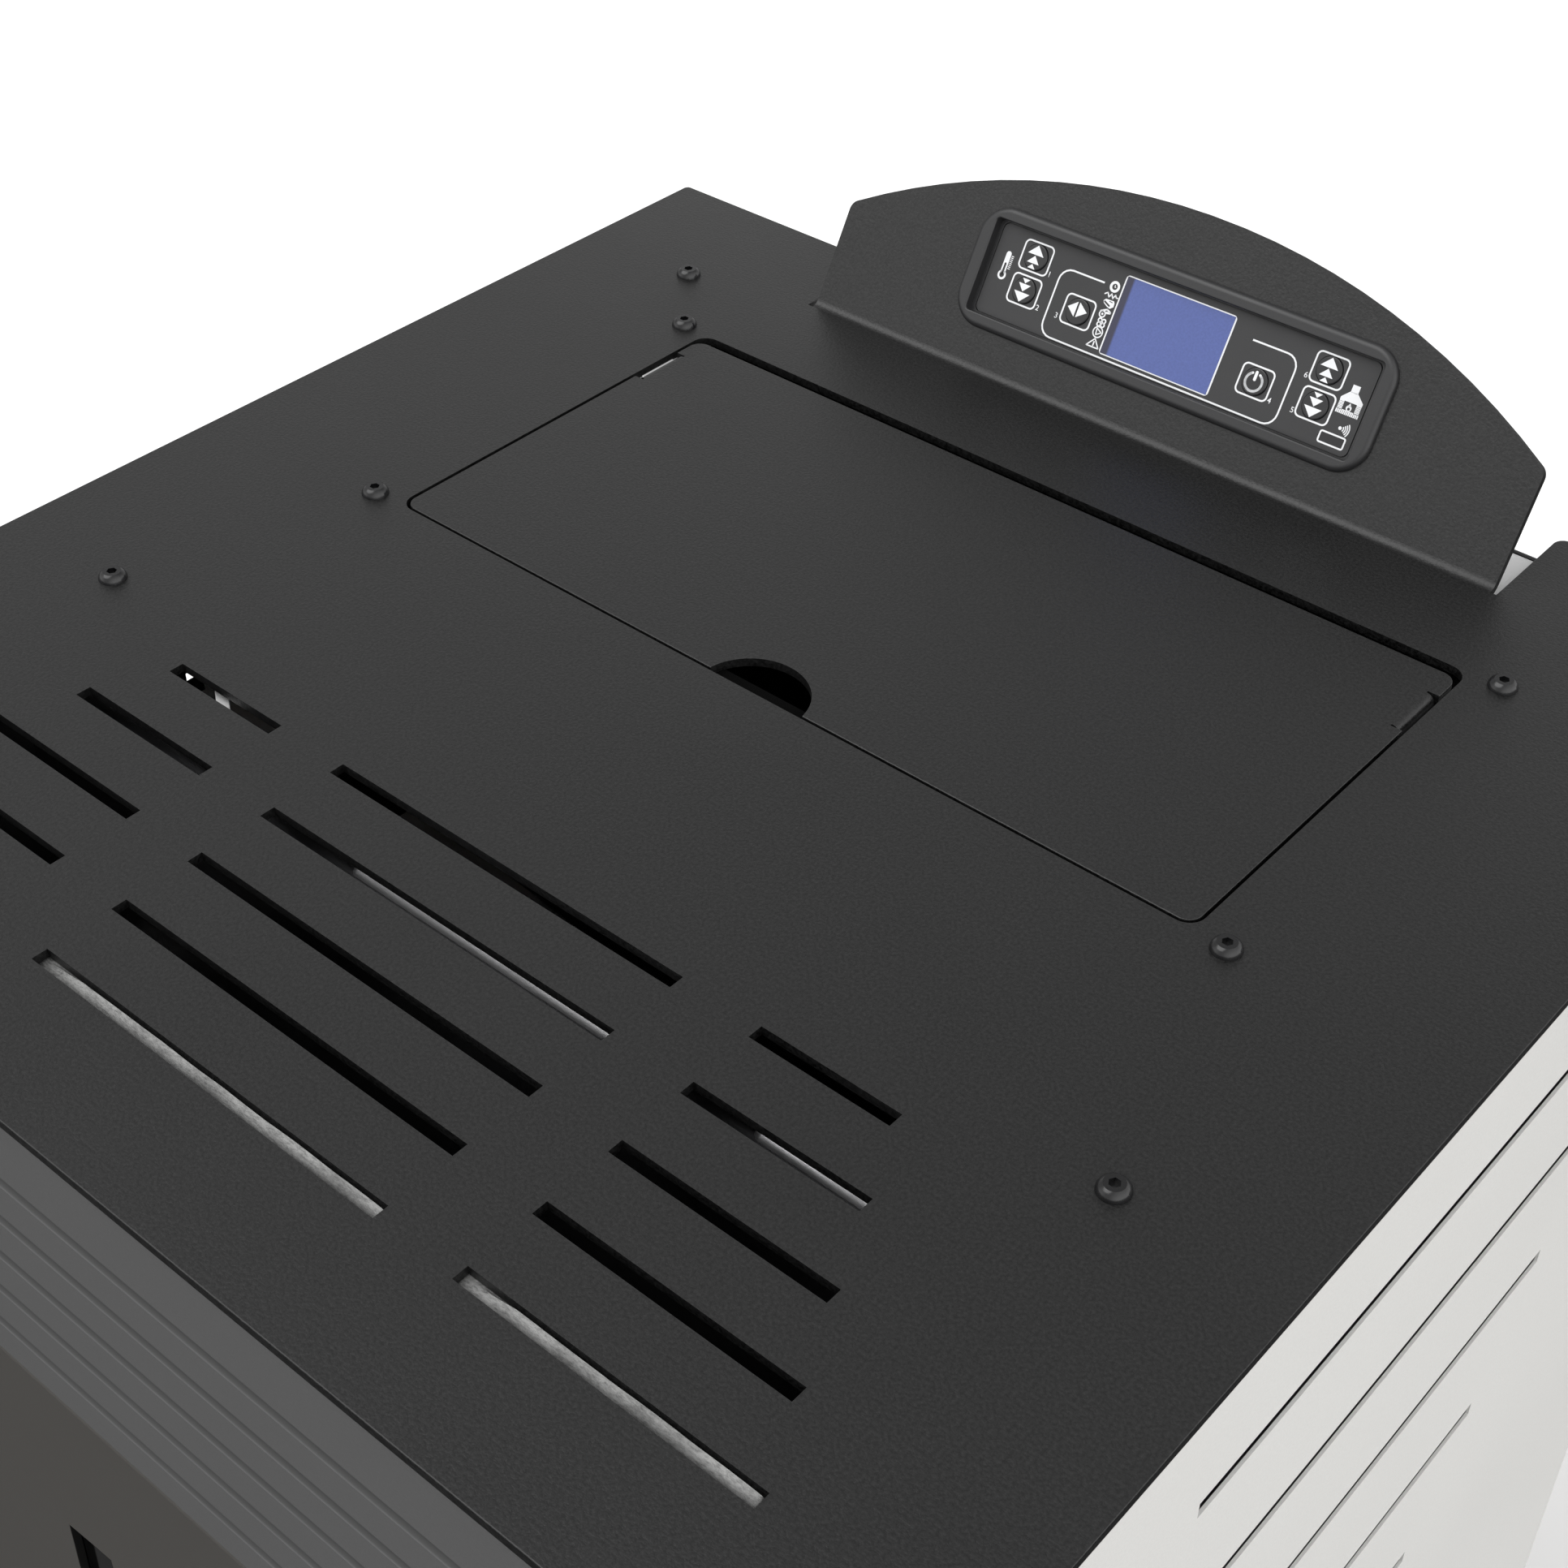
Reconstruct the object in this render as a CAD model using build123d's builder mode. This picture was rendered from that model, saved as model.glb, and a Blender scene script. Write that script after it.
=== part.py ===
from build123d import *

import os
from math import cos, radians, sin, sqrt, tan

os.makedirs("parts", exist_ok=True)

# A free-standing pellet stove. Millimetres, +Z up, +Y towards the wall, +X to the right
# of someone who faces the stove. The origin is on the floor under the middle of the top.

# ---- driving sizes: casing ----
plate_width = 500.0
plate_depth = 497.0
plate_top = 950.0
plate_sheet = 3.0
plate_corner = 2.0
plate_edge = 0.4
plate_under = plate_top - plate_sheet
right_angle = 90.0
reach = 277.0  # how far the door lever stands forward and the flue spigot stands back

# ---- vent slots in the top plate ----
slot_rows = 5
slot_width = 5.1
slot_pitch = 26.15
slot_first_back = -98.7  # back edge of the row nearest the lid
slot_middle_half = 68.1
slot_side_start = 95.9
slot_side_end = 142.9
slot_side_growth = 11.8  # each row towards the front reaches this much further out

# ---- hopper lid and the opening it closes ----
opening_half = 160.2
opening_front = 6.7
opening_back = 160.6
opening_corner = 6.0
lid_half = 159.0
lid_front = 7.9
lid_back = 156.0
lid_corner = 5.0
notch_radius = 18.9
notch_depth = 16.2
ear_front = 122.2
ear_back = 143.2
ear_outer = 158.2
ear_bend = 3.2
ear_bottom = 930.0
ear_slit = 0.8
pivot_y = 132.7
pivot_z = 940.0
pivot_radius = 3.0
pivot_end = 162.2
running_gap = 0.05

# ---- screws that hold the top plate ----
screw_outer = 197.1
screw_inner = 171.2
screw_rear = 191.8
screw_lid_back = 161.3
screw_lid_front = 5.9
screw_front = -84.2
screw_hole = 2.7
screw_shank = 2.5
screw_head = 4.75
screw_head_height = 2.75
screw_length = 12.0
screw_key_flats = 3.0
screw_key_depth = 1.6
screw_dome_side = 35.0
screw_dome_rise = 50.0

# ---- control bracket, bent up from the top plate ----
tilt = 60.0
bend_y = 206.5
bend_radius = 4.0
bracket_half = 144.0
bracket_shoulder = 40.5
bracket_height = 80.3
bracket_corner = 4.5
cutout_half = 146.0
bezel_x = 0.6
bezel_up = 37.3
bezel_width = 172.4
bezel_height = 44.7
bezel_corner = 12.0
bezel_rise = 2.4
bezel_edge = 2.2
bezel_lip = 0.6
bezel_depth = 4.8
recess_width = 160.3
recess_height = 34.5
recess_corner = 1.5
pocket_width = 157.0
pocket_height = 33.9
ledge_drop = 0.1
face_seat = 2.0  # width of the ledge that the face lies on
collar_width = 163.4
collar_height = 37.0
collar_corner = 3.8
collar_gap = 0.2
face_level = -1.3
face_sheet = 1.0
face_corner = 2.5
face_gap = 0.3
display_width = 44.7
display_height = 28.2
display_x = -0.1
display_up = 37.1
display_rise = 0.2
key_radius = 4.8
key_gap = 0.2
key_rise = 0.7
key_dome = 0.5
key_depth = 2.3
key_skirt = 0.5
key_skirt_sheet = 0.6
key_outer = 61.1
key_inner = 37.2
key_high = 45.8
key_low = 33.3
housing_width = 172.0
housing_height = 44.0
housing_depth = 19.0
housing_wall = 1.6
housing_corner = 5.0
housing_inner_corner = 1.8
board_level = -5.0
board_sheet = 1.6

# ---- side panels ----
side_outer = 249.5
side_sheet = 1.0
side_front = -226.0
side_back = 231.0
side_bottom = 30.0
side_return = 14.0
side_top_flange = 58.5
side_bend = 2.0
slit_rows = 8
slit_height = 6.0
slit_first_drop = 45.8
slit_pitch = 50.5
slit_pitch_growth = 1.0
slit_far_end = 145.6
slit_length = 262.8
slit_step = 23.5
slit_front_limit = -205.0

# ---- front panels ----
front_half = 247.0
front_face = 245.0  # measured forwards from the middle of the plate
front_depth = 12.0
front_skin = 2.0
front_edge = 2.5
front_corner = 3.0
fascia_face = 247.0
fascia_back = 236.0
fascia_bottom = 815.5
fascia_top = 946.6
fascia_edge = 3.0
flute_count = 5
flute_first_drop = 35.0
flute_pitch = 20.0
flute_radius = 4.0
flute_depth = 0.9
door_bottom = 329.0
door_top = 811.5
door_skin = 3.0
drawer_front_bottom = 219.0
drawer_front_top = 322.5
kick_bottom = 32.5
kick_top = 215.5
kick_slot_count = 5
kick_slot_length = 120.0
kick_slot_width = 5.1
kick_slot_pitch = 15.0
kick_slot_middle = 100.0

# ---- window lights in the door ----
window_bottom = 430.0
window_bottom_half = 92.0
window_shoulder = 726.9
window_shoulder_half = 69.2
window_crown = 732.4
bar_inner = 30.7
bar_outer = 46.7

# ---- door frame, glass, gasket ----
frame_half = 188.0
frame_bottom = 343.0
frame_top = 793.0
frame_back = 231.0
frame_open_half = 110.0
frame_open_bottom = 412.0
frame_open_top = 750.0
gasket_half = 165.0
gasket_bottom = 352.5
gasket_top = 783.5
gasket_corner = 14.0
gasket_radius = 4.5
gasket_centre = 230.8
groove_half_width = 4.9
groove_floor = 235.6
glass_half = 104.0
glass_bottom = 418.0
glass_top = 744.0
glass_front = 241.8
glass_sheet = 4.0
clip_heights = (480.0, 680.0)
clip_width = 18.0
clip_sheet = 1.5
clip_toe = 96.0
clip_heel = 126.0
clip_step = 107.5

# ---- door hinge and latch ----
hinge_x = -239.0
hinge_y = -238.5
hinge_pin = 4.0
hinge_bush = 6.0
hinge_bush_height = 12.0
hinge_pin_height = 9.0
hinge_leaf_sheet = 2.5
hinge_leaf_gap = 0.8
hinge_leaf_radius = 7.0
hinge_foot_height = 30.0
hinge_foot_front = -232.5
latch_x = 218.0
latch_z = 570.0
latch_shaft = 6.0
latch_boss = 12.0
latch_boss_front = 262.0
lever_sheet = 7.0
lever_width = 15.0
lever_drop = 112.0
grip_radius = 7.5
grip_length = 84.0
cam_back = 217.5
cam_front = 221.5
cam_length = 34.0
cam_half_width = 7.0

# ---- ash drawer ----
drawer_half = 143.0
drawer_bottom = 226.0
drawer_top = 312.0
drawer_back = -24.0
drawer_sheet = 1.5
pull_half = 80.0
pull_radius = 6.0
pull_centre = 265.0
pull_height = 270.0
pull_post = 5.0
pull_post_half = 64.0

# ---- firebox ----
box_half = 172.0
box_sheet = 3.0
box_front = -222.0
box_back = -5.0
box_bottom = 218.0
box_top = 795.0
mouth_plate_half = 195.0
mouth_plate_front = -226.0
mouth_plate_bottom = 214.0
mouth_plate_top = 800.0
door_mouth_half = 150.0
door_mouth_bottom = 366.0
door_mouth_top = 770.0
drawer_mouth_half = 148.0
drawer_mouth_bottom = 222.0
drawer_mouth_top = 318.0
mouth_corner = 8.0
shelf_bottom = 330.0
shelf_top = 333.0
ash_slot_half = 130.0
ash_slot_front = -212.0
ash_slot_back = -155.0
smoke_slot_front = -20.0
smoke_slot_half = 150.0
runner_inner = 120.0
runner_outer = 146.0
runner_top = 225.9
fin_count = 11
fin_pitch = 28.0
fin_sheet = 4.0
fin_front = -190.0
fin_back = -135.0
fin_height = 45.0

# ---- firebox lining ----
back_liner_half = 146.0
back_liner_front = -34.0
back_liner_back = -24.0
back_liner_bottom = 396.0
back_liner_top = 764.0
rib_count = 13
rib_pitch = 21.0
rib_depth = 5.0
rib_width = 8.0
side_liner_sheet = 14.0
side_liner_front = -214.0
side_liner_back = -22.0
side_liner_bottom = 333.0
side_liner_top = 752.0
brick_joint_pitch = 84.0
brick_joint = 3.0
baffle_front = -192.0
baffle_sheet = 12.0

# ---- burn pot, its holder and the igniter ----
pot_y = -90.0
pot_radius = 45.0
pot_wall = 4.0
pot_bottom = 350.0
pot_rim = 432.0
pot_shoulder = 53.0
pot_shoulder_sheet = 5.0
pot_rim_radius = 49.0
pot_floor_holes = 6
pot_floor_hole = 3.5
pot_floor_ring = 22.0
pot_wall_holes = 10
pot_wall_hole = 3.0
pot_wall_hole_height = 372.0
holder_half = 75.0
holder_front = -150.0
holder_back = -24.0
holder_top = 392.0
holder_wall = 6.0
holder_open = 46.0
igniter_x = -35.0
igniter_z = 363.0
igniter_radius = 5.0
igniter_tip = -53.0
igniter_end = 62.0
igniter_flange = 14.0
igniter_sleeve = 8.0

# ---- auger, its tube and the pellet chute ----
auger_slope = 55.0
auger_foot_y = 155.0
auger_foot_z = 470.0
auger_length = 190.0
tube_radius = 27.0
tube_bore = 25.0
tube_end_sheet = 4.0
tube_flange = 33.0
throat_half = 24.0
throat_bore = 22.0
throat_y = 120.0
throat_top = 650.0
throat_bottom = 520.0
throat_flange_half = 34.0
throat_flange_sheet = 3.0
auger_shaft = 8.0
auger_flight = 23.4
flight_pitch = 45.0
flight_sheet = 3.0
flight_length = 170.0
flight_start = 8.0
gearbox_side = 58.0
gearbox_length = 32.0
gearbox_corner = 6.0
motor_radius = 27.0
motor_length = 44.0
chute_fall = 50.0
chute_start = 158.0
chute_radius = 24.0
chute_bore = 22.0
chute_length = 165.0

# ---- hopper ----
collar_half = 163.0
collar_front = 14.0
collar_back = 166.0
collar_bottom = 915.0
bin_half = 205.0
bin_front = 12.0
bin_back = 222.0
bin_top = 885.0
bin_bottom = 810.0
outlet_top = 652.0
hopper_sheet = 1.2
flange_half = 186.0
flange_front = -8.0
flange_back = 176.0
flange_level = 943.5
flange_sheet = 1.0
seal_top = 947.0
seal_inner_front = 13.0
hinge_foot_level = 944.5
hinge_foot_outer = 181.0
hinge_foot_back = 170.0
hinge_tab_front = 123.5
hinge_tab_inner = 159.5
hinge_tab_sheet = 2.5
hinge_tab_bottom = 930.5
hinge_foot_clear = 1.0

# ---- warm air duct under the vent slots ----
duct_half = 202.0
duct_front = -200.0
duct_back = -122.0
duct_bottom = 799.0
duct_sheet = 1.5
duct_flange_front = -216.0
duct_flange_level = 935.5
duct_roll = 6.0
duct_roll_level = 926.0

# ---- exhaust fan, smoke duct, spigot ----
fan_y = 100.0
fan_z = 170.0
fan_near = 66.0
fan_far = 116.0
fan_radius = 72.0
fan_bore = 66.0
fan_wall = 3.0
fan_inlet = 36.0
fan_outlet_back = 205.0
fan_outlet_bottom = 190.0
wheel_radius = 58.0
wheel_width = 26.0
wheel_blades = 10
wheel_blade = 2.5
wheel_blade_turn = 25.0
wheel_hub = 12.0
wheel_inner = 30.0
wheel_plate = 3.0
wheel_near = 82.0
fan_shaft = 4.0
fan_motor_radius = 40.0
fan_motor_length = 58.0
fan_motor_flange = 52.0
fan_motor_flange_sheet = 4.0
fan_shaft_reach = 136.0
spigot_radius = 40.0
spigot_bore = 38.5
spigot_x = 91.0
spigot_z = 216.0
spigot_flange_half = 43.0
spigot_flange_sheet = 4.0
smoke_near = 14.0
smoke_sheet = 2.0
smoke_top = 304.0
smoke_top_back = 70.0
smoke_back = 150.0
smoke_back_top = 235.0
smoke_bottom = 125.0
smoke_bottom_front = 65.0
smoke_front_bottom = 232.0
smoke_hole_low = 242.0
smoke_hole_high = 296.0
smoke_hole_near = 22.0
smoke_hole_far = 58.0

# ---- combustion air pipe ----
pipe_x = 45.0
pipe_z = 363.0
pipe_radius = 25.0
pipe_bore = 23.5
pipe_front = -24.0
pipe_back = 262.0
hole_gap = 0.6
pipe_step = 0.5  # the ends behind the rear panel are this much larger in radius
outer_start = 235.0

# ---- room air blower ----
blower_y = 100.0
blower_z = 140.0
blower_near = -95.0
blower_far = -185.0
blower_radius = 76.0
blower_bore = 70.0
blower_wall = 2.0
blower_mouth = 42.0
blower_outlet_top = 236.0
cage_radius = 62.0
cage_inner = 52.0
cage_blades = 20
cage_blade = 2.0
cage_blade_turn = 35.0
cage_width = 70.0
cage_ring = 3.0
cage_hub = 10.0
cage_near = -105.0
blower_shaft = 4.0
blower_motor_radius = 36.0
blower_motor_length = 56.0
blower_motor_flange = 48.0
blower_motor_flange_sheet = 3.0
blower_shaft_reach = -75.0

# ---- base, feet, rear panel ----
base_half = 248.5
base_front = -225.0
base_back = 230.0
base_level = 30.0
base_sheet = 2.0
base_flange = 25.0
base_slot_count = 6
base_slot_pitch = 22.0
base_slot_length = 90.0
base_slot_width = 6.0
base_slot_x = -140.0
base_slot_y = 95.0
foot_x = 205.0
foot_front = -195.0
foot_back = 195.0
foot_radius = 22.0
foot_neck = 9.0
foot_pad = 6.0
foot_cone = 12.0
foot_stem = 5.0
foot_stem_top = 50.0
foot_nut = 8.5
foot_nut_height = 6.0
foot_hole = 5.5
rear_half = 247.0
rear_sheet = 1.2
rear_bottom = 33.0
rear_top = 944.0
rear_slot_count = 9
rear_slot_pitch = 13.0
rear_slot_length = 110.0
rear_slot_width = 5.0
rear_slot_x = -140.0
rear_slot_z = 140.0
trim_half = 234.0
trim_sheet = 1.1
trim_drop = 8.0
trim_top = 945.8

# ---- power inlet and control board ----
inlet_x = 200.0
inlet_z = 90.0
inlet_width = 32.0
inlet_height = 66.0
inlet_corner = 3.0
inlet_flange = 2.5
inlet_body_width = 27.0
inlet_body_height = 58.0
inlet_depth = 26.0
socket_z = 77.0
socket_width = 24.0
socket_height = 16.0
socket_depth = 16.0
socket_corner = 3.0
socket_pin_width = 2.0
socket_pin_height = 4.0
socket_pin_length = 11.0
socket_pin_pitch = 7.0
socket_pin_rise = 2.0
rocker_z = 107.0
rocker_width = 13.0
rocker_height = 19.0
rocker_gap = 0.3
rocker_depth = 12.0
rocker_crown = 2.0
rocker_pin = 1.5
rocker_window_depth = 13.5
pcb_outer = 248.5
pcb_post = 8.0
pcb_sheet = 1.6
pcb_front = 60.0
pcb_back = 200.0
pcb_bottom = 430.0
pcb_top = 540.0
pcb_post_radius = 3.5
pcb_post_inset = 8.0
transformer_height = 24.0
transformer_front = 75.0
transformer_back = 115.0
transformer_bottom = 450.0
transformer_top = 490.0
relay_height = 16.0
relay_front = 130.0
relay_length = 18.0
relay_pitch = 25.0
relay_count = 2
relay_bottom = 445.0
relay_top = 475.0
terminal_height = 10.0
terminal_front = 80.0
terminal_back = 180.0
terminal_bottom = 515.0
terminal_top = 528.0
capacitor_radius = 8.0
capacitor_height = 20.0
capacitor_y = 140.0
capacitor_z = 498.0


# ---- helpers ----
def write(piece, label):
    """Labels one finished piece and writes it to its own file."""
    piece.part.label = label
    export_step(piece.part, f"parts/{label}.step")


def slab(x, y, z, mode=Mode.ADD):
    """A rectangular sheet, bar or recess between its limits along each axis."""
    limits = (x, y, z)
    middle = [(low + high) / 2 for low, high in limits]
    lengths = [abs(high - low) for low, high in limits]
    with Locations(tuple(middle)):
        Box(*lengths, mode=mode)


def rod(plane, radius, length, mode=Mode.ADD):
    """A round bar or hole that starts on a plane and runs along its normal, or against it."""
    end = Align.MIN if length > 0 else Align.MAX
    with Locations(plane):
        Cylinder(radius, abs(length), align=(Align.CENTER, Align.CENTER, end), mode=mode)


def folded_pan(bottom, top, skin):
    """A front panel: a flat face whose four edges are folded back."""
    middle = (bottom + top) / 2
    height = top - bottom
    with BuildPart() as pan:
        with BuildSketch(Plane.XZ.offset(front_face)):
            with Locations((0, middle)):
                RectangleRounded(2 * front_half, height, front_corner)
        extrude(amount=-front_depth)
        fillet(pan.faces().sort_by(Axis.Y)[0].edges(), front_edge)
        with BuildSketch(Plane.XZ.offset(front_face - skin)):
            with Locations((0, middle)):
                Rectangle(2 * (front_half - front_skin), height - 2 * front_skin)
        extrude(amount=-front_depth, mode=Mode.SUBTRACT)
    return pan.part


# ---- top plate, with the control bracket bent up from the same sheet ----
control_plane = Plane(
    origin=(0, bend_y, plate_top),
    x_dir=(1, 0, 0),
    z_dir=(0, -sin(radians(tilt)), cos(radians(tilt))),
)
bezel_middle = (bezel_x, bezel_up)
screw_spots = [
    (screw_outer, screw_rear),
    (screw_inner, screw_lid_back),
    (screw_inner, screw_lid_front),
    (screw_outer, screw_front),
]
bend_run = bend_radius * tan(radians(tilt / 2))  # flat length that the bend takes up
bend_start = bend_y - bend_run
bend_outer = bend_radius + plate_sheet
bend_centre = plate_top + bend_radius


def bend_point(radius, angle):
    """A point of the bend, in the plane across it, at an angle from its start."""
    return (
        bend_start + radius * sin(radians(angle)),
        bend_centre - radius * cos(radians(angle)),
    )


with BuildPart() as top_plate:
    with BuildSketch(Plane.XY.offset(plate_under)):
        RectangleRounded(plate_width, plate_depth, plate_corner)
        with Locations((0, (opening_front + opening_back) / 2)):
            RectangleRounded(
                2 * opening_half,
                opening_back - opening_front,
                opening_corner,
                mode=Mode.SUBTRACT,
            )
        with Locations((0, (bend_start + plate_depth) / 2)):
            Rectangle(2 * cutout_half, plate_depth - bend_start, mode=Mode.SUBTRACT)
        fillet(
            vertices().filter_by_position(Axis.X, -cutout_half, cutout_half).group_by(Axis.Y)[-1],
            bracket_corner,
        )
        for row in range(slot_rows):
            slot_y = slot_first_back - slot_width / 2 - row * slot_pitch
            slot_end = slot_side_end + row * slot_side_growth
            with Locations((0, slot_y)):
                Rectangle(2 * slot_middle_half, slot_width, mode=Mode.SUBTRACT)
            for side in (-1, 1):
                with Locations((side * (slot_side_start + slot_end) / 2, slot_y)):
                    Rectangle(slot_end - slot_side_start, slot_width, mode=Mode.SUBTRACT)
        with Locations(*[(side * x, y) for x, y in screw_spots for side in (-1, 1)]):
            Circle(screw_hole, mode=Mode.SUBTRACT)
    extrude(amount=plate_sheet)
    outer_edges = faces().sort_by(Axis.Z)[-1].outer_wire().edges()
    fillet(outer_edges.group_by(Axis.X)[0] + outer_edges.group_by(Axis.X)[-1], plate_edge)
    with BuildSketch(Plane.YZ):
        with BuildLine():
            Line((bend_start, plate_under), (bend_start, plate_top))
            ThreePointArc(
                bend_point(bend_radius, 0),
                bend_point(bend_radius, tilt / 2),
                bend_point(bend_radius, tilt),
            )
            Line(bend_point(bend_radius, tilt), bend_point(bend_outer, tilt))
            ThreePointArc(
                bend_point(bend_outer, tilt),
                bend_point(bend_outer, tilt / 2),
                bend_point(bend_outer, 0),
            )
        make_face()
    extrude(amount=bracket_half, both=True)
    with BuildSketch(control_plane):
        with BuildLine():
            Polyline(
                (bracket_half, bracket_shoulder),
                (bracket_half, bend_run),
                (-bracket_half, bend_run),
                (-bracket_half, bracket_shoulder),
            )
            ThreePointArc(
                (-bracket_half, bracket_shoulder),
                (0, bracket_height),
                (bracket_half, bracket_shoulder),
            )
        make_face()
        fillet(vertices().group_by(Axis.Y)[-1], bracket_corner)
        with Locations(bezel_middle):
            RectangleRounded(
                collar_width + 2 * collar_gap,
                collar_height + 2 * collar_gap,
                collar_corner,
                mode=Mode.SUBTRACT,
            )
    extrude(amount=-plate_sheet)
write(top_plate, "top_plate")

# ---- the button-head screws ----
with BuildPart() as button_screw:
    with BuildSketch(Plane.XZ):
        with BuildLine():
            Polyline((0, screw_head_height), (0, 0), (screw_head, 0))
            ThreePointArc(
                (screw_head, 0),
                (
                    screw_head * cos(radians(screw_dome_side)),
                    screw_head_height * sin(radians(screw_dome_rise)),
                ),
                (screw_key_flats, screw_head_height),
            )
            Line((screw_key_flats, screw_head_height), (0, screw_head_height))
        make_face()
    revolve(axis=Axis.Z)
    with BuildSketch(Plane.XY.offset(screw_head_height)):
        RegularPolygon(screw_key_flats / 2, 6, major_radius=False)
    extrude(amount=-screw_key_depth, mode=Mode.SUBTRACT)
    rod(Plane.XY, screw_shank, -screw_length)

with BuildPart() as top_plate_screws:
    with Locations(*[(side * x, y, plate_top) for x, y in screw_spots for side in (-1, 1)]):
        add(button_screw.part)
write(top_plate_screws, "top_plate_screws")

# ---- hopper lid: notched front edge, two ears bent down, a pivot stud on each ear ----
ear_flat = ear_outer - ear_bend
ear_sheet_inner = ear_outer - plate_sheet
ear_middle = ear_bend * sin(radians(right_angle / 2))  # half way round the bend
with BuildPart() as hopper_lid:
    with BuildSketch(Plane.XY.offset(plate_under)):
        with Locations((0, (lid_front + lid_back) / 2)):
            RectangleRounded(2 * lid_half, lid_back - lid_front, lid_corner)
        with Locations((0, lid_front + notch_depth - notch_radius)):
            Circle(notch_radius, mode=Mode.SUBTRACT)
        for side in (-1, 1):
            slit_width = lid_half - ear_flat
            with Locations((side * (lid_half + ear_flat) / 2, (ear_front + ear_back) / 2)):
                Rectangle(slit_width, ear_back - ear_front + 2 * ear_slit, mode=Mode.SUBTRACT)
    extrude(amount=plate_sheet)
    lid_outline = faces().sort_by(Axis.Z)[-1].outer_wire().edges()
    fillet(lid_outline.group_by(Axis.Y)[0] + lid_outline.group_by(Axis.Y)[-1], plate_edge)
    for side in (-1, 1):
        with BuildSketch(Plane.XZ.offset(-ear_front)):
            with BuildLine():
                Line((side * ear_flat, plate_top), (side * ear_flat, plate_under))
                Polyline(
                    (side * ear_flat, plate_under),
                    (side * ear_sheet_inner, plate_under),
                    (side * ear_sheet_inner, ear_bottom),
                    (side * ear_outer, ear_bottom),
                    (side * ear_outer, plate_top - ear_bend),
                )
                ThreePointArc(
                    (side * ear_outer, plate_top - ear_bend),
                    (side * (ear_flat + ear_middle), plate_top - ear_bend + ear_middle),
                    (side * ear_flat, plate_top),
                )
            make_face()
        extrude(amount=-(ear_back - ear_front))
        rod(
            Plane(origin=(side * ear_outer, pivot_y, pivot_z), z_dir=(side, 0, 0)),
            pivot_radius,
            pivot_end - ear_outer,
        )
    fillet(
        edges().filter_by(Axis.X).group_by(Axis.Z)[0],
        ear_bend,
    )
write(hopper_lid, "hopper_lid")

# ---- hinge brackets of the lid, under the plate beside the hopper mouth ----
with BuildPart() as lid_hinge_brackets:
    for side in (-1, 1):
        tab = (side * hinge_tab_inner, side * (hinge_tab_inner + hinge_tab_sheet))
        with BuildSketch(Plane.YZ.offset(min(tab))):
            with BuildLine():
                Polyline(
                    (hinge_tab_front, hinge_tab_bottom),
                    (hinge_tab_front, plate_under),
                    (hinge_foot_back, plate_under),
                    (hinge_foot_back, hinge_foot_level),
                    (ear_back, hinge_foot_level),
                    (ear_back, hinge_tab_bottom),
                    close=True,
                )
            make_face()
            with Locations((pivot_y, pivot_z)):
                Circle(pivot_radius + running_gap, mode=Mode.SUBTRACT)
        extrude(amount=hinge_tab_sheet)
        foot_limits = (side * hinge_tab_inner, side * hinge_foot_outer)
        slab(foot_limits, (hinge_tab_front, hinge_foot_back), (hinge_foot_level, plate_under))
        with Locations((side * screw_spots[1][0], screw_spots[1][1], plate_under)):
            Hole(screw_hole, depth=plate_sheet)
write(lid_hinge_brackets, "lid_hinge_brackets")

# ---- hopper: collar, shoulder, bin and funnel, folded from one thin sheet ----
flange_top = flange_level + flange_sheet


def hopper_section(level, half, front, back, grow):
    """One level rectangle of the hopper's wall, grown outwards by the sheet."""
    with BuildSketch(Plane.XY.offset(level)) as section:
        with Locations((0, (front + back) / 2)):
            Rectangle(2 * (half + grow), back - front + 2 * grow)
    return section.sketch


def hopper_body(grow, mode):
    """The hopper's body as lofts between its levels, inside or outside the sheet."""
    outlet_front = throat_y - throat_bore
    outlet_back = throat_y + throat_bore
    levels = [
        (flange_top, collar_half, collar_front, collar_back),
        (collar_bottom, collar_half, collar_front, collar_back),
        (bin_top, bin_half, bin_front, bin_back),
        (bin_bottom, bin_half, bin_front, bin_back),
        (outlet_top, throat_bore, outlet_front, outlet_back),
        (throat_top, throat_bore, outlet_front, outlet_back),
    ]
    for upper, lower in zip(levels, levels[1:]):
        sections = [hopper_section(*upper, grow), hopper_section(*lower, grow)]
        loft(sections=sections, ruled=True, mode=mode)


with BuildPart() as hopper:
    hopper_body(hopper_sheet, Mode.ADD)
    slab((-flange_half, flange_half), (flange_front, flange_back), (flange_level, flange_top))
    throat_flange = (-throat_flange_half, throat_flange_half)
    throat_flange_y = (throat_y - throat_flange_half, throat_y + throat_flange_half)
    slab(throat_flange, throat_flange_y, (throat_top, outlet_top))
    hopper_body(0, Mode.SUBTRACT)
    inner_screws = [(side * x, y, flange_top) for x, y in screw_spots[1:3] for side in (-1, 1)]
    with Locations(*inner_screws):
        Hole(screw_hole, depth=flange_sheet)
write(hopper, "hopper")

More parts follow.
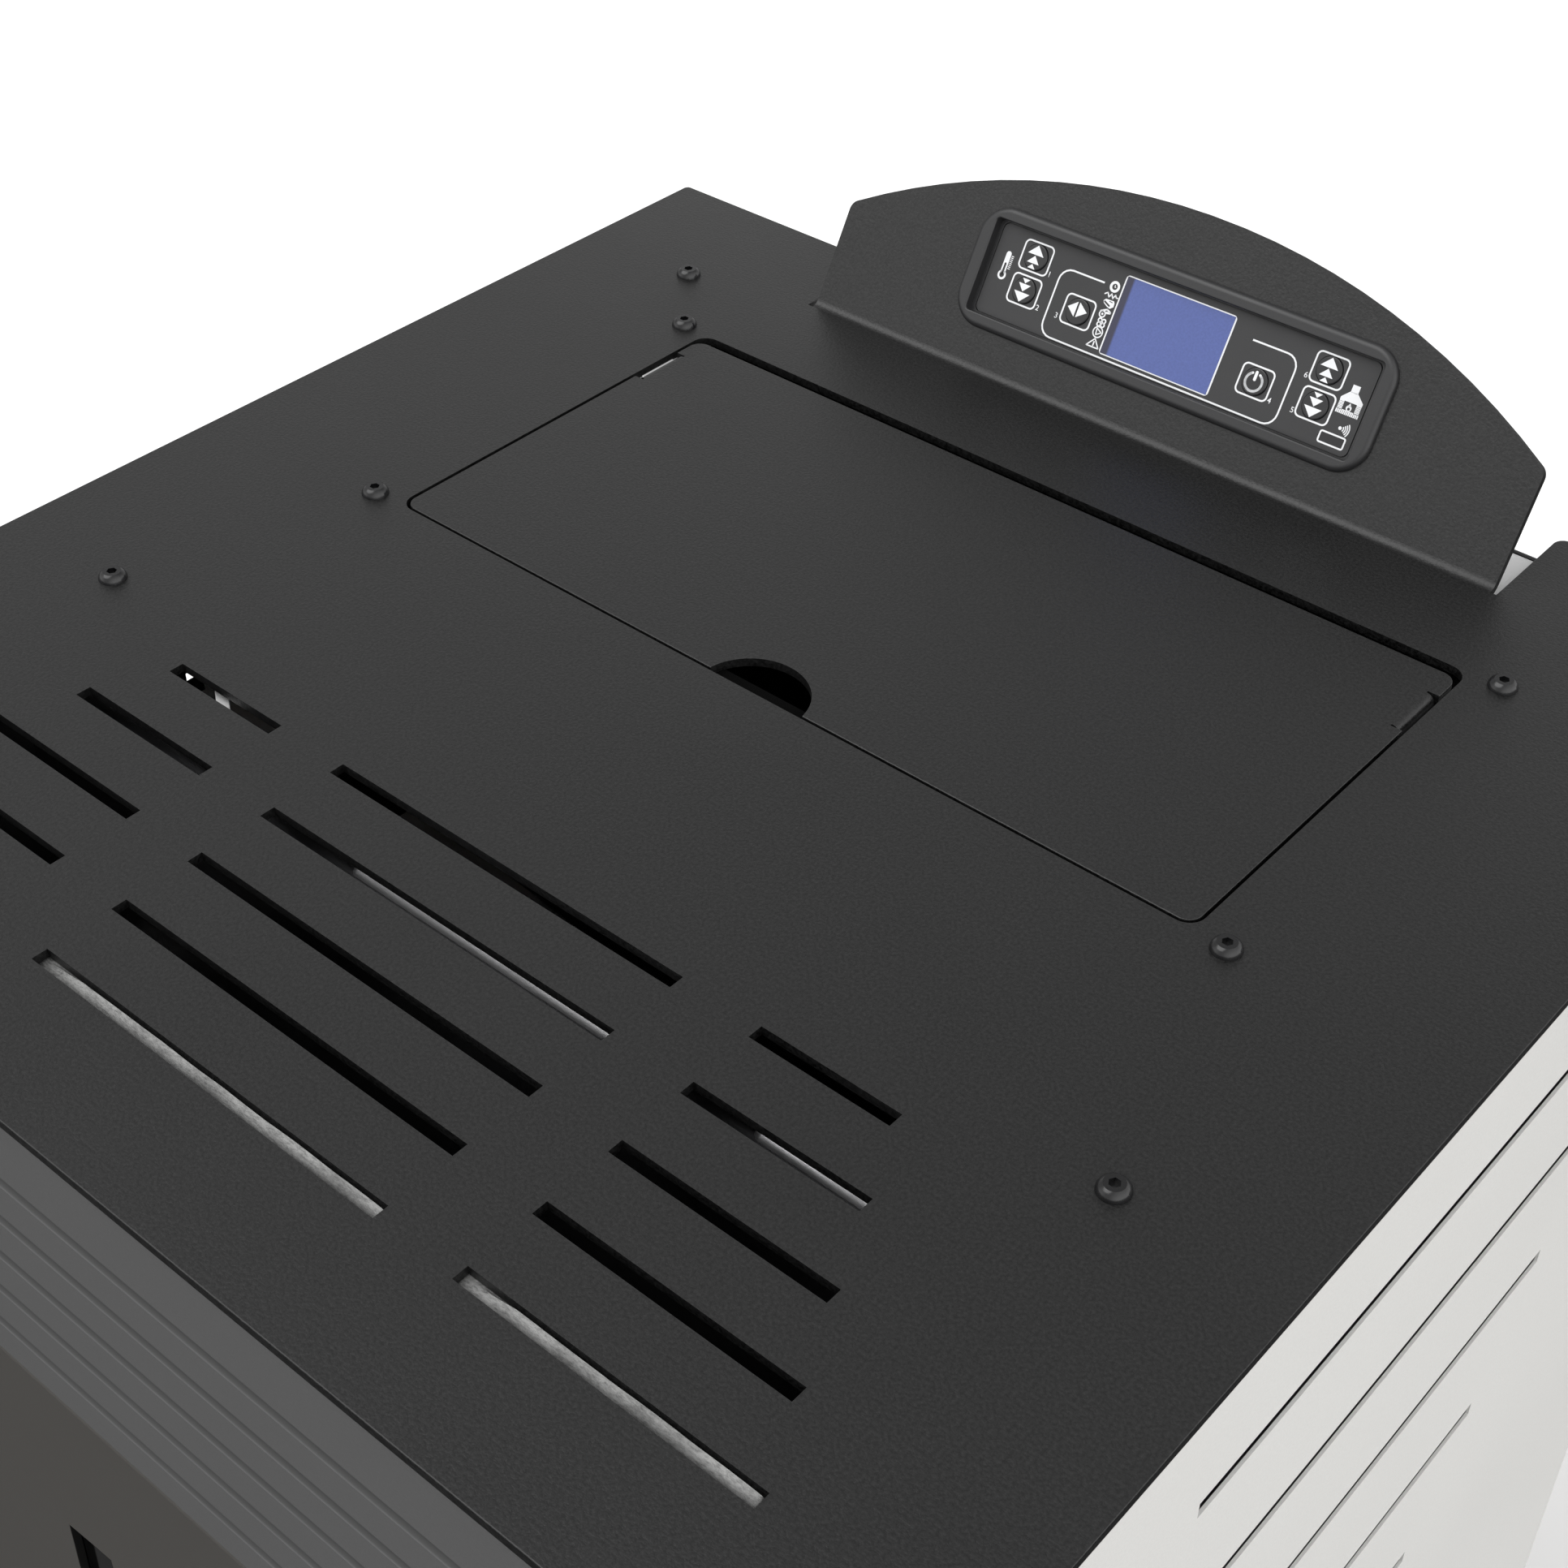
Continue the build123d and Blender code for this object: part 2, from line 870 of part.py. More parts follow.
# ---- seal between the hopper flange and the plate; the lid's front edge rests on it ----
with BuildPart() as hopper_seal:
    with BuildSketch(Plane.XY.offset(flange_top)):
        with Locations((0, (flange_front + flange_back) / 2)):
            Rectangle(2 * flange_half, flange_back - flange_front)
        with Locations((0, (seal_inner_front + collar_back) / 2)):
            Rectangle(2 * collar_half, collar_back - seal_inner_front, mode=Mode.SUBTRACT)
        for side in (-1, 1):
            foot_middle = side * (hinge_tab_inner + hinge_foot_outer) / 2
            foot_width = hinge_foot_outer - hinge_tab_inner + 2 * hinge_foot_clear
            foot_length = hinge_foot_back - hinge_tab_front + 2 * hinge_foot_clear
            with Locations((foot_middle, (hinge_foot_back + hinge_tab_front) / 2)):
                Rectangle(foot_width, foot_length, mode=Mode.SUBTRACT)
        with Locations(*[(side * screw_spots[2][0], screw_spots[2][1]) for side in (-1, 1)]):
            Circle(screw_hole, mode=Mode.SUBTRACT)
    extrude(amount=seal_top - flange_top)
write(hopper_seal, "hopper_seal")

# ---- side panels: folded sheet with rows of long slits that step forwards going down ----
with BuildPart() as side_panel_right:
    with BuildSketch(Plane.XY.offset(side_bottom)):
        side_middle = (side_front + side_back) / 2
        with Locations((side_outer - side_return / 2, side_middle)):
            Rectangle(side_return, side_back - side_front)
        fillet(vertices().group_by(Axis.X)[-1], side_bend)
        with Locations((side_outer - side_sheet - side_return / 2, side_middle)):
            Rectangle(side_return, side_back - side_front - 2 * side_sheet, mode=Mode.SUBTRACT)
    extrude(amount=plate_under - side_bottom)
    slab(
        (side_outer - side_top_flange, side_outer - side_sheet),
        (side_front + side_sheet, side_back - side_sheet),
        (plate_under - side_sheet, plate_under),
    )
    with BuildSketch(Plane.YZ.offset(side_outer - side_return)):
        for row in range(slit_rows):
            drop = slit_first_drop + row * slit_pitch + row**2 * slit_pitch_growth
            far = slit_far_end - row * slit_step
            near = max(far - slit_length, slit_front_limit)
            with Locations(((far + near) / 2, plate_top - drop)):
                Rectangle(far - near, slit_height)
    extrude(amount=side_return, mode=Mode.SUBTRACT)
    outer_screws = [screw_spots[0], screw_spots[3]]
    with Locations(*[(x, y, plate_under) for x, y in outer_screws]):
        Hole(screw_hole, depth=side_sheet)
write(side_panel_right, "side_panel_right")

with BuildPart() as side_panel_left:
    mirror(side_panel_right.part, about=Plane.YZ)
write(side_panel_left, "side_panel_left")

# ---- rear panel and the dark trim pushed on its top edge ----
rear_face = side_back
rear_out = rear_face + rear_sheet
with BuildPart() as rear_panel:
    with BuildSketch(Plane.XZ.offset(-rear_face)):
        with Locations((0, (rear_bottom + rear_top) / 2)):
            Rectangle(2 * rear_half, rear_top - rear_bottom)
        with Locations((spigot_x, spigot_z)):
            Circle(spigot_radius + hole_gap, mode=Mode.SUBTRACT)
        with Locations((pipe_x, pipe_z)):
            Circle(pipe_radius + hole_gap, mode=Mode.SUBTRACT)
        with Locations((inlet_x, inlet_z)):
            Rectangle(inlet_body_width, inlet_body_height, mode=Mode.SUBTRACT)
        with Locations((rear_slot_x, rear_slot_z)):
            with GridLocations(rear_slot_length, rear_slot_pitch, 1, rear_slot_count):
                SlotOverall(rear_slot_length, rear_slot_width, mode=Mode.SUBTRACT)
    extrude(amount=-rear_sheet)
write(rear_panel, "rear_panel")

with BuildPart() as rear_top_trim:
    with BuildSketch(Plane.YZ):
        with Locations(((rear_face + rear_out) / 2, trim_top - trim_drop / 2)):
            RectangleRounded(rear_sheet + 2 * trim_sheet, trim_drop, trim_sheet / 2)
        with Locations(((rear_face + rear_out) / 2, rear_top - trim_drop / 2)):
            Rectangle(rear_sheet, trim_drop, mode=Mode.SUBTRACT)
    extrude(amount=trim_half, both=True)
write(rear_top_trim, "rear_top_trim")

# ---- base tray and levelling feet ----
foot_spots = [(x, y) for x in (-foot_x, foot_x) for y in (foot_front, foot_back)]
with BuildPart() as base_plate:
    slab((-base_half, base_half), (base_front, base_back), (base_level, base_level + base_flange))
    slab(
        (base_sheet - base_half, base_half - base_sheet),
        (base_front + base_sheet, base_back - base_sheet),
        (base_level + base_sheet, base_level + base_flange),
        mode=Mode.SUBTRACT,
    )
    with BuildSketch(Plane.XY.offset(base_level)):
        with Locations(*foot_spots):
            Circle(foot_hole)
        with Locations((base_slot_x, base_slot_y)):
            with GridLocations(base_slot_length, base_slot_pitch, 1, base_slot_count):
                SlotOverall(base_slot_length, base_slot_width)
    extrude(amount=base_sheet, mode=Mode.SUBTRACT)
write(base_plate, "base_plate")

with BuildPart() as foot:
    with BuildSketch(Plane.XZ):
        with BuildLine():
            Polyline(
                (0, 0),
                (foot_radius, 0),
                (foot_radius, foot_pad),
                (foot_neck, foot_cone),
                (foot_stem, foot_cone),
                (foot_stem, foot_stem_top),
                (0, foot_stem_top),
                close=True,
            )
        make_face()
    revolve(axis=Axis.Z)
    for nut_level in (base_level - foot_nut_height, base_level + base_sheet):
        with BuildSketch(Plane.XY.offset(nut_level)):
            RegularPolygon(foot_nut, 6, major_radius=False)
        extrude(amount=foot_nut_height)

with BuildPart() as levelling_feet:
    with Locations(*[(x, y, 0) for x, y in foot_spots]):
        add(foot.part)
write(levelling_feet, "levelling_feet")

# ---- front fascia: a casting with shallow level flutes ----
with BuildPart() as front_fascia:
    with BuildSketch(Plane.YZ):
        with Locations((-(fascia_face + fascia_back) / 2, (fascia_bottom + fascia_top) / 2)):
            Rectangle(fascia_face - fascia_back, fascia_top - fascia_bottom)
        fillet(vertices().group_by(Axis.X)[0], fascia_edge)
        for flute in range(flute_count):
            flute_z = plate_top - flute_first_drop - flute * flute_pitch
            with Locations((flute_depth - flute_radius - fascia_face, flute_z)):
                Circle(flute_radius, mode=Mode.SUBTRACT)
    extrude(amount=front_half, both=True)
write(front_fascia, "front_fascia")

# ---- lower front panel with air slots ----
kick_pan = folded_pan(kick_bottom, kick_top, front_skin)
with BuildPart() as lower_front_panel:
    add(kick_pan)
    with BuildSketch(Plane.XZ.offset(front_face)):
        with Locations((0, kick_slot_middle)):
            with GridLocations(kick_slot_length, kick_slot_pitch, 1, kick_slot_count):
                Rectangle(kick_slot_length, kick_slot_width)
    extrude(amount=-front_skin, mode=Mode.SUBTRACT)
write(lower_front_panel, "lower_front_panel")

# ---- door panel: folded sheet with an arched window split by two bars ----
door_pan = folded_pan(door_bottom, door_top, door_skin)
with BuildPart() as door_panel:
    add(door_pan)
    with BuildSketch(Plane.XZ.offset(front_face)):
        with BuildLine():
            Polyline(
                (-window_shoulder_half, window_shoulder),
                (-window_bottom_half, window_bottom),
                (window_bottom_half, window_bottom),
                (window_shoulder_half, window_shoulder),
            )
            ThreePointArc(
                (-window_shoulder_half, window_shoulder),
                (0, window_crown),
                (window_shoulder_half, window_shoulder),
            )
        make_face()
        for side in (-1, 1):
            with Locations((side * (bar_inner + bar_outer) / 2, window_shoulder)):
                Rectangle(bar_outer - bar_inner, 2 * window_shoulder, mode=Mode.SUBTRACT)
    extrude(amount=-door_skin, mode=Mode.SUBTRACT)
    for level, run in ((door_bottom, hinge_bush_height), (door_top, -hinge_bush_height)):
        rod(Plane(origin=(hinge_x, hinge_y, level)), hinge_bush, run)
        rod(
            Plane(origin=(hinge_x, hinge_y, level)),
            hinge_pin + running_gap,
            run,
            mode=Mode.SUBTRACT,
        )
    rod(
        Plane(origin=(latch_x, -front_face, latch_z), z_dir=(0, 1, 0)),
        latch_shaft + running_gap,
        front_depth,
        mode=Mode.SUBTRACT,
    )
write(door_panel, "door_panel")

# ---- fixed hinge leaves of the door: a pin on a leaf above and one below the door ----
with BuildPart() as door_hinge_brackets:
    for edge, up in ((door_top, 1), (door_bottom, -1)):
        leaf_near = edge + up * hinge_leaf_gap
        leaf_far = leaf_near + up * hinge_leaf_sheet
        leaf_foot = leaf_far - up * hinge_foot_height
        with BuildSketch(Plane.XY.offset(min(leaf_near, leaf_far))):
            with BuildLine():
                Polyline(
                    (hinge_x, hinge_y - hinge_leaf_radius),
                    (-mouth_plate_half, hinge_y - hinge_leaf_radius),
                    (-mouth_plate_half, mouth_plate_front),
                    (hinge_x, hinge_y + hinge_leaf_radius),
                )
                ThreePointArc(
                    (hinge_x, hinge_y + hinge_leaf_radius),
                    (hinge_x - hinge_leaf_radius, hinge_y),
                    (hinge_x, hinge_y - hinge_leaf_radius),
                )
            make_face()
        extrude(amount=hinge_leaf_sheet)
        slab(
            (-mouth_plate_half, -frame_half - hinge_leaf_sheet),
            (hinge_foot_front, mouth_plate_front),
            (min(leaf_far, leaf_foot), max(leaf_far, leaf_foot)),
        )
        rod(
            Plane(origin=(hinge_x, hinge_y, leaf_near)),
            hinge_pin,
            -up * (hinge_pin_height + hinge_leaf_gap),
        )
write(door_hinge_brackets, "door_hinge_brackets")

# ---- door frame: carries the glass and has the gasket's groove in its back ----
frame_middle = (frame_bottom + frame_top) / 2
with BuildPart() as door_frame:
    with BuildSketch(Plane.XZ.offset(frame_back)):
        with Locations((0, frame_middle)):
            RectangleRounded(2 * frame_half, frame_top - frame_bottom, front_corner)
        with Locations((0, (frame_open_bottom + frame_open_top) / 2)):
            RectangleRounded(
                2 * frame_open_half,
                frame_open_top - frame_open_bottom,
                front_corner,
                mode=Mode.SUBTRACT,
            )
    extrude(amount=front_face - door_skin - frame_back)
    with BuildSketch(Plane.XZ.offset(frame_back)):
        for grow, mode in ((groove_half_width, Mode.ADD), (-groove_half_width, Mode.SUBTRACT)):
            with Locations((0, (gasket_bottom + gasket_top) / 2)):
                RectangleRounded(
                    2 * (gasket_half + grow),
                    gasket_top - gasket_bottom + 2 * grow,
                    gasket_corner + grow,
                    mode=mode,
                )
    extrude(amount=groove_floor - frame_back, mode=Mode.SUBTRACT)
write(door_frame, "door_frame")

# ---- rope gasket in the groove ----
with BuildSketch(Plane.XZ.offset(gasket_centre)) as gasket_outline:
    with Locations((0, (gasket_bottom + gasket_top) / 2)):
        RectangleRounded(2 * gasket_half, gasket_top - gasket_bottom, gasket_corner)
gasket_path = gasket_outline.sketch.faces()[0].outer_wire()

with BuildPart() as door_gasket:
    with BuildSketch(Plane(origin=gasket_path @ 0, z_dir=gasket_path % 0)):
        Circle(gasket_radius)
    sweep(path=gasket_path)
write(door_gasket, "door_gasket")

# ---- door glass and the clips that hold it against the panel ----
with BuildPart() as door_glass:
    slab(
        (-glass_half, glass_half),
        (-glass_front, glass_sheet - glass_front),
        (glass_bottom, glass_top),
    )
write(door_glass, "door_glass")

with BuildPart() as glass_clips:
    toe_front = glass_sheet - glass_front
    heel_front = -frame_back
    for side in (-1, 1):
        for level in clip_heights:
            with BuildSketch(Plane.XY.offset(level)):
                with BuildLine():
                    Polyline(
                        (side * clip_toe, toe_front),
                        (side * clip_step, toe_front),
                        (side * clip_step, heel_front),
                        (side * clip_heel, heel_front),
                        (side * clip_heel, heel_front + clip_sheet),
                        (side * (clip_step - clip_sheet), heel_front + clip_sheet),
                        (side * (clip_step - clip_sheet), toe_front + clip_sheet),
                        (side * clip_toe, toe_front + clip_sheet),
                        close=True,
                    )
                make_face()
            extrude(amount=clip_width)
write(glass_clips, "glass_clips")

# ---- door lever: boss, flat arm and round grip, on the latch shaft ----
with BuildPart() as door_handle:
    with BuildSketch(Plane.XY.offset(latch_z - lever_drop)):
        with Locations((latch_x, grip_radius - reach)):
            Circle(grip_radius)
    extrude(amount=grip_length)
    fillet(edges().filter_by(GeomType.CIRCLE), hinge_leaf_sheet)
    with BuildSketch(Plane.XZ.offset(latch_boss_front)):
        with Locations((latch_x, latch_z - lever_drop / 2)):
            SlotCenterToCenter(lever_drop, lever_width, rotation=90)
    extrude(amount=lever_sheet)
    rod(
        Plane(origin=(latch_x, -latch_boss_front, latch_z), z_dir=(0, 1, 0)),
        latch_boss,
        latch_boss_front - front_face - hinge_leaf_gap,
    )
    rod(
        Plane(origin=(latch_x, -latch_boss_front, latch_z), z_dir=(0, 1, 0)),
        latch_shaft,
        latch_boss_front - cam_back,
    )
write(door_handle, "door_handle")

# ---- latch cam on the inner end of the shaft; it swings behind the firebox mouth plate ----
with BuildPart() as latch_cam:
    with BuildSketch(Plane.XZ.offset(cam_back)):
        with Locations((latch_x, latch_z - cam_length / 2)):
            SlotCenterToCenter(cam_length, 2 * cam_half_width, rotation=90)
        with Locations((latch_x, latch_z)):
            Circle(latch_boss)
            Circle(latch_shaft, mode=Mode.SUBTRACT)
    extrude(amount=cam_front - cam_back)
write(latch_cam, "latch_cam")

# ---- ash drawer: welded box, folded front and a bar pull ----
with BuildPart() as ash_drawer_box:
    box_start = front_depth - front_face
    slab((-drawer_half, drawer_half), (box_start, drawer_back), (drawer_bottom, drawer_top))
    slab(
        (drawer_sheet - drawer_half, drawer_half - drawer_sheet),
        (box_start + drawer_sheet, drawer_back - drawer_sheet),
        (drawer_bottom + drawer_sheet, drawer_top),
        mode=Mode.SUBTRACT,
    )
    fillet(edges().filter_by(Axis.Z).group_by(Axis.Y)[-1], front_corner)
write(ash_drawer_box, "ash_drawer_box")

drawer_pan = folded_pan(drawer_front_bottom, drawer_front_top, front_skin)
with BuildPart() as ash_drawer_front:
    add(drawer_pan)
    with BuildSketch(Plane.XZ.offset(front_face - front_depth + drawer_sheet)):
        with Locations((0, (drawer_bottom + drawer_top) / 2)):
            Rectangle(2 * (front_half - front_skin), drawer_top - drawer_bottom)
    extrude(amount=-drawer_sheet)
write(ash_drawer_front, "ash_drawer_front")

with BuildPart() as drawer_pull:
    with BuildSketch(Plane(origin=(-pull_half, -pull_centre, pull_height), z_dir=(1, 0, 0))):
        Circle(pull_radius)
    extrude(amount=2 * pull_half)
    fillet(edges().group_by(Axis.X)[0] + edges().group_by(Axis.X)[-1], drawer_sheet)
    for side in (-1, 1):
        rod(
            Plane(origin=(side * pull_post_half, -pull_centre, pull_height), z_dir=(0, 1, 0)),
            pull_post,
            pull_centre - front_face,
        )
write(drawer_pull, "drawer_pull")

# ---- firebox: welded box behind a mouth plate with the door's and the drawer's openings ----
auger_axis = Vector(0, -cos(radians(auger_slope)), sin(radians(auger_slope)))
auger_foot = Vector(0, auger_foot_y, auger_foot_z)
chute_axis = Vector(0, -cos(radians(chute_fall)), -sin(radians(chute_fall)))
chute_top = auger_foot + auger_axis * chute_start
chute_plane = Plane(origin=chute_top, x_dir=(1, 0, 0), z_dir=chute_axis)
inner_half = box_half - box_sheet
inner_back = box_back - box_sheet

with BuildPart() as firebox_shell:
    slab((-box_half, box_half), (box_front, box_back), (box_bottom, box_top))
    with BuildSketch(Plane.XZ.offset(-box_front)):
        with Locations((0, (mouth_plate_bottom + mouth_plate_top) / 2)):
            Rectangle(2 * mouth_plate_half, mouth_plate_top - mouth_plate_bottom)
    extrude(amount=box_front - mouth_plate_front)
    slab(
        (-inner_half, inner_half),
        (box_front, inner_back),
        (shelf_top, box_top - box_sheet),
        mode=Mode.SUBTRACT,
    )
    slab(
        (-inner_half, inner_half),
        (box_front, inner_back),
        (box_bottom + box_sheet, shelf_bottom),
        mode=Mode.SUBTRACT,
    )
    with BuildSketch(Plane.XZ.offset(-box_front)):
        with Locations((0, (door_mouth_bottom + door_mouth_top) / 2)):
            RectangleRounded(
                2 * door_mouth_half, door_mouth_top - door_mouth_bottom, mouth_corner
            )
        with Locations((0, (drawer_mouth_bottom + drawer_mouth_top) / 2)):
            RectangleRounded(
                2 * drawer_mouth_half, drawer_mouth_top - drawer_mouth_bottom, front_corner
            )
    extrude(amount=box_front - mouth_plate_front, mode=Mode.SUBTRACT)
    ash_slot = (-ash_slot_half, ash_slot_half)
    slab(ash_slot, (ash_slot_front, ash_slot_back), (shelf_bottom, shelf_top), Mode.SUBTRACT)
    smoke_slot = (-smoke_slot_half, smoke_slot_half)
    slab(smoke_slot, (smoke_slot_front, inner_back), (shelf_bottom, shelf_top), Mode.SUBTRACT)
    for side in (-1, 1):
        runner = (side * runner_inner, side * runner_outer)
        slab(runner, (box_front, inner_back), (box_bottom, runner_top))
    for fin in range(fin_count):
        fin_x = (fin - (fin_count - 1) / 2) * fin_pitch
        fin_limits = (fin_x - fin_sheet / 2, fin_x + fin_sheet / 2)
        slab(fin_limits, (fin_front, fin_back), (box_top, box_top + fin_height))
    rod(chute_plane, chute_radius + hole_gap, chute_length, mode=Mode.SUBTRACT)
    for x, z, radius in (
        (pipe_x, pipe_z, pipe_radius - pipe_step + running_gap),
        (igniter_x, igniter_z, igniter_sleeve + running_gap),
    ):
        hole_plane = Plane(origin=(x, inner_back, z), x_dir=(1, 0, 0), z_dir=(0, 1, 0))
        rod(hole_plane, radius, box_sheet, mode=Mode.SUBTRACT)
    slab(
        (smoke_hole_near, smoke_hole_far),
        (inner_back, box_back),
        (smoke_hole_low, smoke_hole_high),
        mode=Mode.SUBTRACT,
    )
write(firebox_shell, "firebox_shell")

# ---- lining: ribbed iron back, two boards at the sides and a baffle over the fire ----
with BuildPart() as fire_back:
    back_liner_middle = (back_liner_bottom + back_liner_top) / 2
    with BuildSketch(Plane.XY.offset(back_liner_bottom)):
        with Locations((0, (back_liner_front + back_liner_back) / 2)):
            Rectangle(2 * back_liner_half, back_liner_back - back_liner_front)
        with GridLocations(rib_pitch, rib_pitch, rib_count, 1):
            with Locations((0, back_liner_front)):
                Rectangle(
                    rib_pitch - rib_width, 2 * rib_depth, mode=Mode.SUBTRACT
                )
    extrude(amount=back_liner_top - back_liner_bottom)
    rod(chute_plane, chute_radius + hole_gap, chute_length, mode=Mode.SUBTRACT)
write(fire_back, "fire_back")

with BuildPart() as side_liners:
    for side in (-1, 1):
        liner = (side * (inner_half - side_liner_sheet), side * inner_half)
        side_liner_y = (side_liner_front, side_liner_back)
        slab(liner, side_liner_y, (side_liner_bottom, side_liner_top))
        joint_count = int((side_liner_top - side_liner_bottom) / brick_joint_pitch)
        joint_x = side * (inner_half - side_liner_sheet)
        for joint in range(1, joint_count):
            joint_z = side_liner_bottom + joint * brick_joint_pitch
            slab(
                (joint_x, joint_x + side * brick_joint),
                side_liner_y,
                (joint_z, joint_z + brick_joint),
                mode=Mode.SUBTRACT,
            )
write(side_liners, "side_liners")

with BuildPart() as baffle_plate:
    slab(
        (-inner_half, inner_half),
        (baffle_front, back_liner_front),
        (side_liner_top, side_liner_top + baffle_sheet),
    )
    fillet(edges().filter_by(Axis.X).group_by(Axis.Y)[0], hinge_leaf_sheet)
write(baffle_plate, "baffle_plate")

# ---- burn pot holder, an air box with a round seat in its lid ----
with BuildPart() as pot_holder:
    slab((-holder_half, holder_half), (holder_front, holder_back), (shelf_top, holder_top))
    fillet(edges().filter_by(Axis.Z), mouth_corner)
    slab(
        (holder_wall - holder_half, holder_half - holder_wall),
        (holder_front + holder_wall, holder_back - holder_wall),
        (shelf_top, holder_top - holder_wall),
        mode=Mode.SUBTRACT,
    )
    rod(Plane(origin=(0, pot_y, holder_top)), holder_open, -holder_wall, mode=Mode.SUBTRACT)
    for x, z, radius in (
        (pipe_x, pipe_z, pipe_radius - pot_wall),
        (igniter_x, igniter_z, igniter_radius + hole_gap),
    ):
        hole_plane = Plane(origin=(x, holder_back, z), x_dir=(1, 0, 0), z_dir=(0, -1, 0))
        rod(hole_plane, radius, holder_wall, mode=Mode.SUBTRACT)
write(pot_holder, "pot_holder")

# ---- burn pot: a turned iron cup with a seat shoulder and air holes ----
with BuildPart() as burn_pot:
    with BuildSketch(Plane(origin=(0, pot_y, 0), x_dir=(1, 0, 0), z_dir=(0, -1, 0))):
        with BuildLine():
            Polyline(
                (0, pot_bottom),
                (pot_radius - pot_wall, pot_bottom),
                (pot_radius, pot_bottom + pot_wall),
                (pot_radius, holder_top),
                (pot_shoulder, holder_top),
                (pot_shoulder, holder_top + pot_shoulder_sheet),
                (pot_radius, holder_top + pot_shoulder_sheet),
                (pot_rim_radius, pot_rim),
                (pot_rim_radius - pot_wall, pot_rim),
                (pot_radius - pot_wall, holder_top + pot_shoulder_sheet),
                (pot_radius - pot_wall, pot_bottom + pot_wall),
                (0, pot_bottom + pot_wall),
                close=True,
            )
        make_face()
    revolve(axis=Axis(origin=(0, pot_y, 0), direction=(0, 0, 1)))
    with BuildSketch(Plane(origin=(0, pot_y, pot_bottom))):
        with PolarLocations(pot_floor_ring, pot_floor_holes):
            Circle(pot_floor_hole)
        Circle(pot_floor_hole)
    extrude(amount=pot_wall, mode=Mode.SUBTRACT)
    with Locations(Location((0, pot_y, pot_wall_hole_height))):
        with PolarLocations(0, pot_wall_holes):
            Cylinder(
                pot_wall_hole,
                pot_radius,
                rotation=(0, right_angle, 0),
                align=(Align.CENTER, Align.CENTER, Align.MIN),
                mode=Mode.SUBTRACT,
            )
write(burn_pot, "burn_pot")

# ---- igniter: heating rod in a flanged sleeve ----
with BuildPart() as igniter:
    for start, end, radius in (
        (igniter_tip, igniter_end, igniter_radius),
        (inner_back, igniter_end / 2, igniter_sleeve),
        (box_back, box_back + box_sheet, igniter_flange),
    ):
        rod(
            Plane(origin=(igniter_x, start, igniter_z), z_dir=(0, 1, 0)),
            radius,
            end - start,
        )
write(igniter, "igniter")

# ---- auger tube with its feed throat, and the chute that drops pellets to the pot ----
auger_plane = Plane(origin=auger_foot, x_dir=(1, 0, 0), z_dir=auger_axis)
with BuildPart() as auger_tube:
    rod(auger_plane, tube_radius, auger_length)
    rod(auger_plane, tube_flange, -tube_end_sheet)
    rod(auger_plane.offset(auger_length), tube_flange, tube_end_sheet)
    throat = (-throat_half, throat_half)
    throat_limits = (throat_y - throat_half, throat_y + throat_half)
    slab(throat, throat_limits, (throat_bottom, throat_top))
    slab(throat_flange, throat_flange_y, (throat_top - throat_flange_sheet, throat_top))
    rod(auger_plane, tube_bore, auger_length, mode=Mode.SUBTRACT)
    slab(
        (-throat_bore, throat_bore),
        (throat_y - throat_bore, throat_y + throat_bore),
        (throat_bottom, throat_top),
        mode=Mode.SUBTRACT,
    )
    rod(
        auger_plane.offset(-tube_end_sheet),
        auger_shaft + running_gap,
        auger_length + 2 * tube_end_sheet,
        mode=Mode.SUBTRACT,
    )
    rod(chute_plane, chute_bore, 2 * tube_radius, mode=Mode.SUBTRACT)
write(auger_tube, "auger_tube")

with BuildPart() as pellet_chute:
    rod(chute_plane, chute_radius, chute_length)
    rod(auger_plane, tube_radius, auger_length, mode=Mode.SUBTRACT)
    rod(chute_plane, chute_bore, chute_length, mode=Mode.SUBTRACT)
    slab(
        (-chute_radius, chute_radius),
        (back_liner_front - chute_length, back_liner_front),
        (shelf_top, side_liner_top),
        mode=Mode.SUBTRACT,
    )
write(pellet_chute, "pellet_chute")

# ---- auger: a shaft with a helical flight ----
with BuildPart() as auger_screw:
    flight_foot = auger_foot + auger_axis * flight_start
    with BuildLine() as flight_path:
        Helix(flight_pitch, flight_length, auger_shaft, center=flight_foot, direction=auger_axis)
    flight_root = flight_path.wires()[0] @ 0
    flight_plane = Plane(
        origin=flight_root,
        x_dir=flight_root - flight_foot,
        z_dir=flight_path.wires()[0] % 0,
    )
    flight_depth = auger_flight - auger_shaft
    with BuildSketch(flight_plane):
        with Locations((flight_depth / 2 - flight_sheet / 4, 0)):
            Rectangle(flight_depth + flight_sheet / 2, flight_sheet)
    sweep(path=flight_path.wires()[0], is_frenet=True)
    rod(
        auger_plane.offset(-2 * tube_end_sheet),
        auger_shaft,
        auger_length + 3 * tube_end_sheet,
    )
write(auger_screw, "auger_screw")

# ---- gearmotor below the auger ----
with BuildPart() as auger_gearmotor:
    with BuildSketch(auger_plane.offset(-tube_end_sheet)):
        RectangleRounded(gearbox_side, gearbox_side, gearbox_corner)
    extrude(amount=-gearbox_length)
    rod(auger_plane.offset(-tube_end_sheet - gearbox_length), motor_radius, -motor_length)
    fillet(edges().filter_by(GeomType.CIRCLE).sort_by(Axis.Z)[0], drawer_sheet)
    rod(
        auger_plane.offset(-tube_end_sheet),
        auger_shaft + running_gap,
        -2 * tube_end_sheet,
        mode=Mode.SUBTRACT,
    )
write(auger_gearmotor, "auger_gearmotor")

